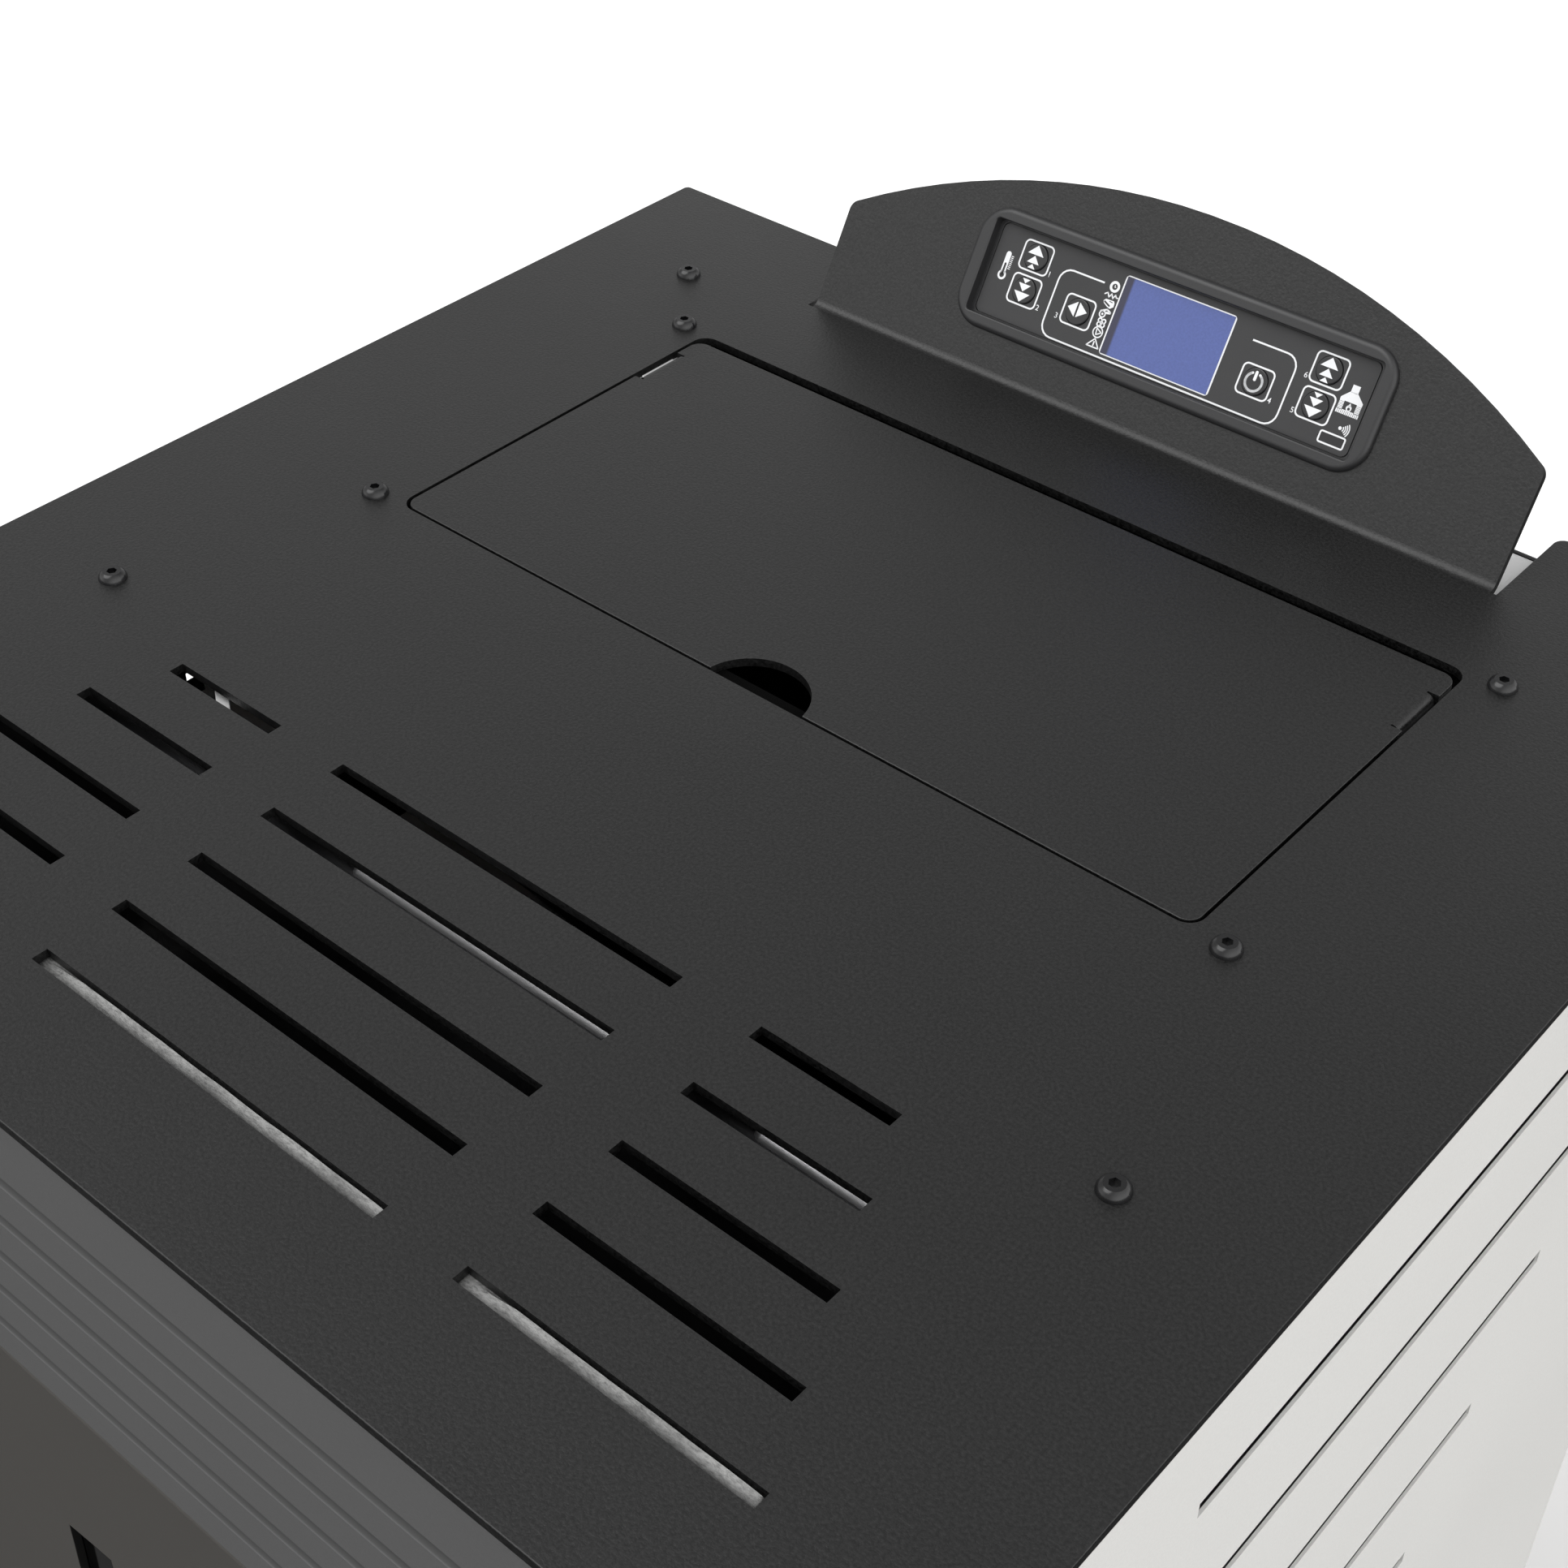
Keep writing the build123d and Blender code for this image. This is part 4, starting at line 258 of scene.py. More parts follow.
@dataclass
class EffectGroups:
    """Builds the shared node groups on first use and keeps them."""

    built: dict[Effect, Tree] = field(default_factory=dict)
    broad_scale: float = 220.0
    broad_share: float = 0.35
    tip_span: Point = (0.35, 0.72)
    streak_scale: float = 900.0
    upward_span: Point = (0.2, 0.9)
    cover_span: Point = (0.4, 0.65)

    def get(self, effect: Effect) -> Tree:
        """Gives a group, building it the first time that it is asked for.

        Args:
            effect: the effect that the group holds.

        Returns:
            The node group.
        """
        makers = {
            Effect.GRAIN: self.grain,
            Effect.SMUDGE: self.smudge,
            Effect.ROLLED: self.rolled,
            Effect.DUST: self.dust,
        }
        if effect not in self.built:
            self.built[effect] = makers[effect](effect.value)
        return self.built[effect]

    def start(
        self, name: str, inputs: dict[str, Feed], outputs: dict[str, Kind]
    ) -> tuple[Shader, bpy.types.NodeOutputs, Node]:
        """Opens a new group with its sockets.

        Args:
            name: the group's name.
            inputs: default by input name, a tuple for a colour.
            outputs: kind by output name.

        Returns:
            The builder for the group's tree, the values given to it, and its output node.
        """
        tree = bpy.data.node_groups.new(name, "ShaderNodeTree")
        for key, default in inputs.items():
            full = isinstance(default, tuple)
            kind = Kind.COLOUR if full else Kind.NUMBER
            socket = tree.interface.new_socket(key, in_out="INPUT", socket_type=kind.value)
            socket.default_value = (*default, 1) if full else default
        for key, kind in outputs.items():
            tree.interface.new_socket(key, in_out="OUTPUT", socket_type=kind.value)
        build = Shader(tree)
        return build, build.node("NodeGroupInput").outputs, build.node("NodeGroupOutput")

    def grain(self, name: str) -> Tree:
        """Powder coat: fine pimples, with the tips a little lighter than the hollows.

        Args:
            name: the group's name.

        Returns:
            The group, which puts out a colour and a height.
        """
        build, given, out = self.start(
            name,
            {"Colour": (0.05, 0.05, 0.05), "Lift": 0.25, "Size": 1800.0},
            {"Colour": Kind.COLOUR, "Height": Kind.NUMBER},
        )
        where = build.place()
        fine = build.noise(where, given["Size"], rough=0.65)
        broad = build.noise(where, self.broad_scale, detail=3.0)
        tips = build.spread(fine, self.tip_span, BOTH_WAYS)
        level = build.add(build.times(tips, given["Lift"]), 1.0)
        scaled = build.node("VectorMath", operation="SCALE")
        build.feed(scaled, Vector=given["Colour"], Scale=level)
        height = build.add(fine, build.times(broad, self.broad_share))
        build.feed(out, Colour=scaled.outputs["Vector"], Height=height)
        return build.tree

    def smudge(self, name: str) -> Tree:
        """Handling: broad soft patches where a surface is a little more or less glossy.

        Args:
            name: the group's name.

        Returns:
            The group, which puts out a roughness and the patches as a mask.
        """
        build, given, out = self.start(
            name,
            {"Roughness": 0.5, "Swing": 0.05, "Scale": 9.0},
            {"Roughness": Kind.NUMBER, "Mask": Kind.NUMBER},
        )
        cloud = build.noise(build.place(), given["Scale"], detail=4.0, rough=0.6)
        swing = build.times(build.spread(cloud, NOISE_SPAN, BOTH_WAYS), given["Swing"])
        build.feed(out, Roughness=build.add(swing, given["Roughness"]), Mask=cloud)
        return build.tree

    def rolled(self, name: str) -> Tree:
        """Rolled or drawn sheet: long fine streaks along X.

        Args:
            name: the group's name.

        Returns:
            The group, which puts out a height.
        """
        build, given, out = self.start(name, {"Length": 0.03}, {"Height": Kind.NUMBER})
        stretch = build.feed(build.node("CombineXYZ"), X=given["Length"], Y=1.0, Z=1.0)
        where = build.place(stretch.outputs["Vector"])
        build.feed(out, Height=build.noise(where, self.streak_scale, detail=3.0, rough=0.7))
        return build.tree

    def dust(self, name: str) -> Tree:
        """Dust or ash that settles on faces that look up.

        Args:
            name: the group's name.

        Returns:
            The group, which puts out a mask.
        """
        build, given, out = self.start(
            name, {"Amount": 0.3, "Scale": 60.0}, {"Mask": Kind.NUMBER}
        )
        facing = build.part(build.node("NewGeometry").outputs["Normal"], Axis.Z)
        patch = build.noise(build.place(), given["Scale"], detail=5.0, rough=0.65)
        both = build.times(
            build.spread(facing, self.upward_span), build.spread(patch, self.cover_span)
        )
        build.feed(out, Mask=build.times(both, given["Amount"]))
        return build.tree


EFFECTS = EffectGroups()


# ---------------------------------------------------------------- finishes


@dataclass(frozen=True)
class Finish:
    """One surface finish. Each kind adds its own nodes around the shader.

    Depth and relief are the strength and height of its bump. Swing and cloud are how far
    handling changes its roughness and how many patches of that there are in a metre, and
    scatter is how far its own texture takes the roughness down and up.
    """

    name: str
    colour: Colour
    roughness: float = 0.5
    depth: float = 0.2
    relief: float = 0.0001
    swing: float = 0.05
    cloud: float = 12.0
    scatter: Point = (0.08, 0.08)

    def build(self) -> bpy.types.Material:
        """Makes the material.

        Returns:
            The finished material.
        """
        material = bpy.data.materials.new(self.name)
        material.use_nodes = True
        material.node_tree.nodes.clear()
        build = Shader(material.node_tree)
        surface = build.node("BsdfPrincipled")
        build.feed(build.node("OutputMaterial"), Surface=surface.outputs["BSDF"])
        self.dress(build, surface)
        material.diffuse_color = (*self.colour, 1)
        return material

    def dress(self, build: Shader, surface: Node) -> None:
        """Adds the nodes of this kind of finish around the shader."""
        raise NotImplementedError

    def shaded(self, factor: float) -> Colour:
        """Gives the colour made lighter or darker by a factor."""
        return tuple(min(1.0, part * factor) for part in self.colour)

    def rough_span(self) -> Point:
        """Gives the range of roughness round the finish's own."""
        return self.roughness - self.scatter[0], self.roughness + self.scatter[1]

    def group(self, build: Shader, effect: Effect, **inputs: Feed) -> bpy.types.NodeOutputs:
        """Places one shared effect with this finish's own values, and gives its outputs."""
        return build.feed(build.node("Group", node_tree=EFFECTS.get(effect)), **inputs).outputs

    def smudge(self, build: Shader) -> bpy.types.NodeOutputs:
        """Places the handling effect round the finish's roughness, and gives its outputs."""
        values = {"Roughness": self.roughness, "Swing": self.swing, "Scale": self.cloud}
        return self.group(build, Effect.SMUDGE, **values)

    def bump(self, build: Shader, surface: Node, height: Socket) -> None:
        """Turns a height into the shader's normal."""
        made = build.feed(build.node("Bump"), Height=height, Strength=self.depth)
        build.feed(surface, Normal=build.feed(made, Distance=self.relief).outputs["Normal"])


@dataclass(frozen=True)
class PowderCoat(Finish):
    """Baked powder: matt colour with fine pimples, and painted shade that darkens its colour in
    hollows.

    The hollows lie between two depths along Y, within a half width along X and a span of Z.
    """

    depth: float = 0.25
    relief: float = 0.00012
    swing: float = 0.04
    cloud: float = 7.0
    grain: float = 1800.0
    lift: float = 0.22
    specular: float = 0.4
    hollow: Point = (0.0, 0.0)
    hollow_tone: float = 1.0
    hollow_half: float = 0.1
    hollow_span: Point = (0.4295, 0.7335)
    hollow_fade: float = 0.0005
    hollow_side_fade: float = 1.01

    def dress(self, build: Shader, surface: Node) -> None:
        """Grain in colour and height, painted shade in hollows, smudges in roughness.

        Args:
            build: the builder of the material's tree.
            surface: the shader.
        """
        grain = self.group(
            build, Effect.GRAIN, Colour=self.colour, Lift=self.lift, Size=self.grain
        )
        colour = grain["Colour"]
        # Painted shade: a hollow takes a darker copy of the colour.
        if self.hollow_tone < 1:
            colour = build.blend(self.hollows(build), colour, self.shaded(self.hollow_tone))
        rough = self.smudge(build)["Roughness"]
        build.feed(
            surface, Base_Color=colour, Roughness=rough, Specular_IOR_Level=self.specular
        )
        self.bump(build, surface, grain["Height"])

    def hollows(self, build: Shader) -> Socket:
        """Masks the hollows that take the painted shade.

        Args:
            build: the builder of the material's tree.

        Returns:
            The mask, 1 in a hollow.
        """
        side, height = build.axis(Axis.X), build.axis(Axis.Z)
        low, high = self.hollow_span
        limit = self.hollow_half**2
        mask = build.spread(build.axis(Axis.Y), self.hollow)
        for value, source in (
            (build.times(side, side), (limit * self.hollow_side_fade, limit)),
            (height, (low, low + self.hollow_fade)),
            (height, (high, high - self.hollow_fade)),
        ):
            mask = build.times(mask, build.spread(value, source))
        return mask


@dataclass(frozen=True)
class RolledMetal(Finish):
    """Bare sheet or bar with drawn streaks and soft stains."""

    swing: float = 0.09
    cloud: float = 14.0
    length: float = 0.03
    stain: Colour = (0.3, 0.3, 0.3)
    stain_share: float = 0.25
    stain_span: Point = (0.42, 0.7)

    def dress(self, build: Shader, surface: Node) -> None:
        """Streaks in height, smudges in roughness, stains in colour.

        Args:
            build: the builder of the material's tree.
            surface: the shader.
        """
        smudge = self.smudge(build)
        patch = build.spread(smudge["Mask"], self.stain_span, (0.0, self.stain_share))
        colour = build.blend(patch, self.colour, self.stain)
        build.feed(surface, Base_Color=colour, Metallic=1.0, Roughness=smudge["Roughness"])
        rolled = self.group(build, Effect.ROLLED, Length=self.length)
        self.bump(build, surface, rolled["Height"])


@dataclass(frozen=True)
class FoilFacing(Finish):
    """Thin foil over wool: fine fibres, and painted shade darkening it towards the front edge of
    the slots.
    """

    depth: float = 0.5
    relief: float = 0.0002
    scatter: Point = (0.0, 0.15)
    metal: float = 0.7
    fibre_stretch: Spot = (0.35, 1.0, 1.0)
    fibre_scale: float = 1500.0
    fibre_tone: Point = (0.35, 1.3)
    broad_scale: float = 60.0
    broad_tone: Point = (0.7, 1.1)
    soiled: Point = (-0.2084, -0.2052)
    dirt: Colour = (0.01, 0.01, 0.01)

    def dress(self, build: Shader, surface: Node) -> None:
        """Fibres and painted shade in colour, fibres in height.

        Args:
            build: the builder of the material's tree.
            surface: the shader.
        """
        along = build.place(self.fibre_stretch)
        fibre = build.noise(along, self.fibre_scale, detail=4.0, rough=0.7)
        broad = build.noise(build.place(), self.broad_scale)
        # Painted shade: the colour falls to near black towards the front edge of the slots.
        shade_and_fibre = build.spread(build.axis(Axis.Y), self.soiled)
        for value, tone in ((fibre, self.fibre_tone), (broad, self.broad_tone)):
            shade_and_fibre = build.times(shade_and_fibre, build.spread(value, NOISE_SPAN, tone))
        build.feed(
            surface,
            Base_Color=build.blend(shade_and_fibre, self.dirt, self.colour),
            Metallic=self.metal,
            Roughness=build.spread(fibre, NOISE_SPAN, self.rough_span()),
        )
        self.bump(build, surface, fibre)


@dataclass(frozen=True)
class ZincSpangle(Finish):
    """Galvanised sheet: bright crystals of slightly different grey."""

    depth: float = 0.08
    scatter: Point = (0.08, 0.1)
    crystal: float = 120.0
    metal: float = 0.45
    dark_share: float = 0.82
    streak_length: float = 0.05

    def dress(self, build: Shader, surface: Node) -> None:
        """Crystal cells in colour and roughness, faint streaks in height.

        Args:
            build: the builder of the material's tree.
            surface: the shader.
        """
        cells = build.node("TexVoronoi", feature="F1")
        build.feed(cells, Vector=build.place(), Scale=self.crystal, Randomness=1.0)
        tone = build.feed(build.node("RGBToBW"), Color=cells.outputs["Color"]).outputs[0]
        build.feed(
            surface,
            Base_Color=build.blend(tone, self.shaded(self.dark_share), self.colour),
            Metallic=self.metal,
            Roughness=build.spread(tone, UNIT, self.rough_span()),
        )
        rolled = self.group(build, Effect.ROLLED, Length=self.streak_length)
        self.bump(build, surface, rolled["Height"])


@dataclass(frozen=True)
class RoughCast(Finish):
    """Sand casting or pressed mineral: lumpy, with ash in its hollows."""

    depth: float = 0.5
    relief: float = 0.0006
    lump: float = 260.0
    ash: Colour = (0.35, 0.33, 0.3)
    ash_share: float = 0.25
    ash_scale: float = 55.0
    metal: float = 0.0
    broad_scale: float = 24.0
    light_factor: float = 1.5
    light_share: float = 0.8

    def dress(self, build: Shader, surface: Node) -> None:
        """Lumps in height, dust in colour.

        Args:
            build: the builder of the material's tree.
            surface: the shader.
        """
        where = build.place()
        lumps = build.noise(where, self.lump, detail=5.0, rough=0.62)
        broad = build.noise(where, self.broad_scale, detail=3.0)
        dust = self.group(build, Effect.DUST, Amount=self.ash_share, Scale=self.ash_scale)
        paler = build.spread(broad, NOISE_SPAN, (0.0, self.light_share))
        base = build.blend(paler, self.colour, self.shaded(self.light_factor))
        build.feed(
            surface,
            Base_Color=build.blend(dust["Mask"], base, self.ash),
            Metallic=self.metal,
            Roughness=build.spread(lumps, NOISE_SPAN, self.rough_span()),
        )
        self.bump(build, surface, lumps)


@dataclass(frozen=True)
class Moulding(Finish):
    """Injection moulded plastic or rubber with spark-eroded texture."""

    depth: float = 0.12
    relief: float = 0.00008
    cloud: float = 40.0
    texture: float = 2600.0
    specular: float = 0.5
    light_factor: float = 1.25

    def dress(self, build: Shader, surface: Node) -> None:
        """Fine texture in height and colour, smudges in roughness.

        Args:
            build: the builder of the material's tree.
            surface: the shader.
        """
        fine = build.noise(build.place(), self.texture, rough=0.6)
        peaks = build.spread(fine, NOISE_SPAN)
        build.feed(
            surface,
            Base_Color=build.blend(peaks, self.colour, self.shaded(self.light_factor)),
            Roughness=self.smudge(build)["Roughness"],
            Specular_IOR_Level=self.specular,
        )
        self.bump(build, surface, fine)


@dataclass(frozen=True)
class CrystalDisplay(Finish):
    """Unlit liquid crystal: violet blue, darker in a strip along its left edge."""

    edge: Colour = (0.02, 0.02, 0.05)
    left: float = -0.0200
    fade: float = 0.0009
    mottle_scale: float = 1500.0
    mottle_span: Point = (0.35, 0.65)
    dim_share: float = 0.86
    coat: float = 0.3
    coat_roughness: float = 0.08

    def dress(self, build: Shader, surface: Node) -> None:
        """A dark strip along the left edge and faint mottling.

        Args:
            build: the builder of the material's tree.
            surface: the shader.
        """
        across = build.spread(build.axis(Axis.X), (self.left, self.left + self.fade))
        mottle = build.spread(build.noise(build.place(), self.mottle_scale), self.mottle_span)
        base = build.blend(mottle, self.shaded(self.dim_share), self.colour)
        build.feed(
            surface,
            Base_Color=build.blend(across, self.edge, base),
            Roughness=self.roughness,
            Coat_Weight=self.coat,
            Coat_Roughness=self.coat_roughness,
        )


@dataclass(frozen=True)
class CeramicGlass(Finish):
    """Fire glass with a faint smoke film and a black printed border."""

    film: float = 0.06
    film_span: Point = (0.4, 0.7)
    smoke: Colour = (0.2, 0.16, 0.12)
    print_colour: Colour = (0.004, 0.004, 0.004)
    print_side: float = 0.072
    print_bottom: float = 0.448
    print_top: float = 0.692
    print_fade: float = 0.004
    refraction: float = 1.52
    clear: float = 0.85

    def dress(self, build: Shader, surface: Node) -> None:
        """Clear glass whose roughness changes where smoke has touched it.

        Args:
            build: the builder of the material's tree.
            surface: the shader.
        """
        smudge = self.smudge(build)
        film = build.spread(smudge["Mask"], self.film_span, (0.0, self.film))
        smoked = build.blend(film, self.colour, self.smoke)
        build.feed(
            surface,
            Base_Color=build.blend(self.border(build), smoked, self.print_colour),
            Roughness=smudge["Roughness"],
            IOR=self.refraction,
            Transmission_Weight=self.clear,
        )

    def border(self, build: Shader) -> Socket:
        """Masks the printed border.

        Args:
            build: the builder of the material's tree.

        Returns:
            The mask, 1 in the print.
        """
        height, side = build.axis(Axis.Z), build.axis(Axis.X)
        border = build.spread(height, (self.print_top, self.print_top + self.print_fade))
        for value, start, fade in (
            (height, self.print_bottom, -self.print_fade),
            (side, self.print_side, self.print_fade),
            (side, -self.print_side, -self.print_fade),
        ):
            edge = build.spread(value, (start, start + fade))
            border = build.maths(Maths.LARGER, border, edge)
        return border


@dataclass(frozen=True)
class BraidedRope(Finish):
    """Glass fibre rope: diagonal strands."""

    depth: float = 0.6
    relief: float = 0.0006
    pitch: float = 420.0
    slant: float = 0.9
    waver: float = 0.6
    gap_share: float = 0.45

    def dress(self, build: Shader, surface: Node) -> None:
        """Crossing bands in height and colour.

        Args:
            build: the builder of the material's tree.
            surface: the shader.
        """
        where = build.place()
        bands = []
        for turn in (self.slant, -self.slant):
            mapping = build.feed(build.node("Mapping"), Vector=where, Rotation=(0.0, turn, 0.0))
            wave = build.node("TexWave", wave_type="BANDS", bands_direction="X")
            across = mapping.outputs["Vector"]
            build.feed(wave, Vector=across, Scale=self.pitch, Distortion=self.waver)
            bands.append(wave.outputs["Fac"])
        braid = build.maths(Maths.LARGER, *bands)
        colour = build.blend(braid, self.shaded(self.gap_share), self.colour)
        build.feed(surface, Base_Color=colour, Roughness=self.roughness)
        self.bump(build, surface, braid)


@dataclass(frozen=True)
class PrintedInk(Finish):
    """Screen-printed ink on film: flat, a little uneven."""

    uneven_scale: float = 2200.0
    thin_share: float = 0.9
    specular: float = 0.3

    def dress(self, build: Shader, surface: Node) -> None:
        """Slight unevenness of the ink.

        Args:
            build: the builder of the material's tree.
            surface: the shader.
        """
        uneven = build.noise(build.place(), self.uneven_scale)
        colour = build.blend(uneven, self.shaded(self.thin_share), self.colour)
        build.feed(
            surface,
            Base_Color=colour,
            Roughness=self.roughness,
            Specular_IOR_Level=self.specular,
        )


@dataclass(frozen=True)
class CircuitBoard(Finish):
    """Solder mask with tracks under it."""

    relief: float = 0.0002
    dark_share: float = 0.8
    track_factor: float = 1.9
    track_scale: float = 120.0

    def dress(self, build: Shader, surface: Node) -> None:
        """Square tracks a little lighter than the mask.

        Args:
            build: the builder of the material's tree.
            surface: the shader.
        """
        tracks = build.feed(
            build.node("TexBrick"),
            Vector=build.place(),
            Color1=self.colour,
            Color2=self.shaded(self.dark_share),
            Mortar=self.shaded(self.track_factor),
            Scale=self.track_scale,
        ).outputs
        build.feed(surface, Base_Color=tracks["Color"], Roughness=self.roughness)
        self.bump(build, surface, tracks["Fac"])


@dataclass(frozen=True)
class StudioFloor(Finish):
    """Pale seamless paper, whose light on the stove is held down as with black flags."""

    fibre_scale: float = 60.0
    fibre_share: float = 0.99
    bounce: float = 0.3
    mirrored: float = 0.06
    specular: float = 0.1
    shadow: Colour = (0.66, 0.655, 0.65)
    shadow_reach: Point = (0.85, 1.35)

    def dress(self, build: Shader, surface: Node) -> None:
        """Barely visible fibre, soft shade round the stove, and darker tones for thrown light.

        Args:
            build: the builder of the material's tree.
            surface: the shader.
        """
        fibre = build.noise(build.place(), self.fibre_scale, detail=4.0)
        paper = build.blend(fibre, self.colour, self.shaded(self.fibre_share))
        reach = build.node("VectorMath", operation="LENGTH")
        build.feed(reach, Vector=build.place())
        away = build.spread(reach.outputs["Value"], self.shadow_reach)
        seen = build.blend(away, self.shadow, paper)
        ray = build.node("LightPath").outputs
        thrown = build.blend(ray["Is Glossy Ray"], (self.bounce,) * 3, (self.mirrored,) * 3)
        build.feed(
            surface,
            Base_Color=build.blend(ray["Is Camera Ray"], thrown, seen),
            Roughness=self.roughness,
            Specular_IOR_Level=self.specular,
        )


class FinishShelf:
    """All finishes of the stove, made once, and the CAD nodes that take each."""

    def __init__(self) -> None:
        """Names the finishes and lists the CAD nodes that take each."""
        self.made: dict[str, bpy.types.Material] = {}
        self.zinc = ZincSpangle("zinc_sheet", (0.82, 0.82, 0.82), 0.42)
        self.screw = PowderCoat(
            "black_zinc", tint(16, 16, 17), 0.22, grain=2400.0, lift=0.1, depth=0.08, specular=0.5
        )
        self.film = Moulding("keypad_film", tint(40, 40, 41), 0.5, texture=3200.0, depth=0.05)
        self.lens = Moulding("receiver_lens", tint(30, 30, 32), 0.12, texture=3200.0, depth=0.0)
        self.ink = PrintedInk("white_ink", tint(235, 236, 238), 0.5)
        self.foil = FoilFacing("duct_foil", (0.34, 0.34, 0.335), 0.6)
        # Painted highlight: bright metal bars that stand for the highlight on the duct's rolled
        # edge.
        self.bead = RolledMetal("edge_bead", (0.75, 0.75, 0.76), 0.46, depth=0.1)
        # Painted highlight: a bright metal strip stands for the light caught on the lid ear's
        # bend.
        self.strip = RolledMetal("bend_highlight_metal", (0.62, 0.62, 0.62), 0.5, depth=0.1)
        self.wool = RoughCast("wool_pad", (0.02, 0.02, 0.02), 0.95, ash_share=0.0)
        self.floor = StudioFloor("studio_paper", (0.93, 0.93, 0.93), 0.9)
        self.nodes_of: dict[Finish, str] = {
            **self.painted(), **self.bare_metal(), **self.cast_and_moulded(), **self.special()
        }

    def painted(self) -> dict[Finish, str]:
        """Lists the painted sheets.

        Returns:
            The CAD nodes' names by finish, with spaces between them.
        """
        warm: dict[str, object] = {
            "colour": tint(75, 73, 70), "grain": 1400.0, "lift": 0.08, "depth": 0.1
        }
        return {
            PowderCoat(
                "plate_powder", grey(17), 0.4, grain=1000.0, lift=1.0, depth=1.0, specular=0.5
            ): "top_plate hopper_lid",
            PowderCoat(
                # Painted shade: faces set back in the flutes are darkened to 0.6 of the colour.
                "fascia_satin", grey(91), grain=1400.0, lift=0.06, depth=0.1,
                hollow=(-0.24701, -0.24665), hollow_tone=0.6, hollow_half=0.2455,
                hollow_span=(0.82, 0.94),
            ): "front_fascia",
            PowderCoat(
                # Painted shade: faces set back in the window opening are darkened almost to black.
                "door_satin", hollow=(-0.24495, -0.2447), hollow_tone=0.04, **warm
            ): "door_panel",
            PowderCoat("lower_satin", **warm): "ash_drawer_front lower_front_panel",
            PowderCoat(
                "side_powder", tint(222, 221, 218), 0.55, grain=1500.0, lift=0.03, depth=0.12
            ): "side_panel_left side_panel_right",
            PowderCoat(
                "heat_paint", tint(20, 20, 21), 0.85, grain=1100.0, lift=0.3, depth=0.35,
                specular=0.2,
            ): "firebox_shell door_frame ash_drawer_box auger_tube pellet_chute smoke_duct hopper",
            PowderCoat(
                "motor_dip", tint(92, 94, 98), 0.45, lift=0.1, depth=0.15
            ): "exhaust_motor blower_motor auger_gearmotor",
            self.screw: "top_plate_screws door_hinge_brackets rear_top_trim",
        }

    def bare_metal(self) -> dict[Finish, str]:
        """Lists the bare sheets and bars.

        Returns:
            The CAD nodes' names by finish, with spaces between them.
        """
        return {
            self.zinc: (
                "rear_panel base_plate blower_housing lid_hinge_brackets glass_clips "
                "air_intake_pipe"
            ),
            # Painted shade: the duct's sheet is darkened so its inside reads black through the
            # slots.
            RolledMetal("shaded_duct_sheet", (0.26, 0.26, 0.27), 0.5, depth=0.3): "convection_duct",
            RolledMetal(
                "satin_steel", (0.55, 0.55, 0.56), 0.32
            ): "door_handle latch_cam drawer_pull",
            RolledMetal(
                "heated_steel", (0.42, 0.39, 0.36), 0.45, depth=0.3, stain=(0.12, 0.08, 0.06),
                stain_share=0.7,
            ): "burn_pot igniter auger_screw",
            RolledMetal(
                "pressed_wheel", (0.6, 0.6, 0.6), 0.38, length=1.0
            ): "exhaust_impeller blower_wheel",
        }

    def cast_and_moulded(self) -> dict[Finish, str]:
        """Lists the cast, pressed and moulded parts.

        Returns:
            The CAD nodes' names by finish, with spaces between them.
        """
        return {
            RoughCast(
                "cast_aluminium", (0.5, 0.5, 0.5), 0.5, lump=500.0, depth=0.2, ash_share=0.05,
                metal=0.9,
            ): "exhaust_fan_housing flue_spigot",
            RoughCast(
                "cast_iron", (0.035, 0.034, 0.033), 0.72, metal=0.3
            ): "fire_back pot_holder",
            RoughCast(
                "mineral_board", (0.5, 0.44, 0.34), 0.9, lump=420.0, depth=0.7, ash_share=0.4
            ): "side_liners baffle_plate",
            Moulding("bezel_plastic", tint(36, 36, 37), 0.4, depth=0.2): "control_bezel",
            Moulding(
                "key_film", tint(30, 30, 31), 0.3, texture=3200.0, depth=0.04
            ): "key_1 key_2 key_3 key_4 key_5 key_6",
            Moulding("hood_plastic", grey(40), 0.55): "display_housing power_inlet power_rocker",
            Moulding("foot_rubber", grey(38), 0.8, texture=900.0, depth=0.3): "levelling_feet",
            Moulding(
                "seal_foam", grey(4), 0.98, texture=700.0, depth=0.6, specular=0.05
            ): "hopper_seal",
            self.film: "keypad_face",
        }

    def special(self) -> dict[Finish, str]:
        """Lists the parts whose finish no other part has.

        Returns:
            The CAD nodes' names by finish, with spaces between them.
        """
        return {
            CrystalDisplay("crystal_display", tint(76, 92, 155), 0.3): "display_window",
            CeramicGlass("fire_glass", (0.6, 0.58, 0.55), 0.06): "door_glass",
            BraidedRope("rope_seal", grey(60), 0.9): "door_gasket",
            CircuitBoard("circuit_board", (0.02, 0.12, 0.06), 0.4): "control_board",
        }

    def material(self, finish: Finish) -> bpy.types.Material:
        """Gives a finish's material, made the first time that it is asked for.

        Args:
            finish: the finish.

        Returns:
            Its material.
        """
        if finish.name not in self.made:
            self.made[finish.name] = finish.build()
        return self.made[finish.name]

    def coat(self, piece: Piece, finish: Finish) -> None:
        """Puts one finish on all of a piece."""
        piece.data.materials.clear()
        piece.data.materials.append(self.material(finish))

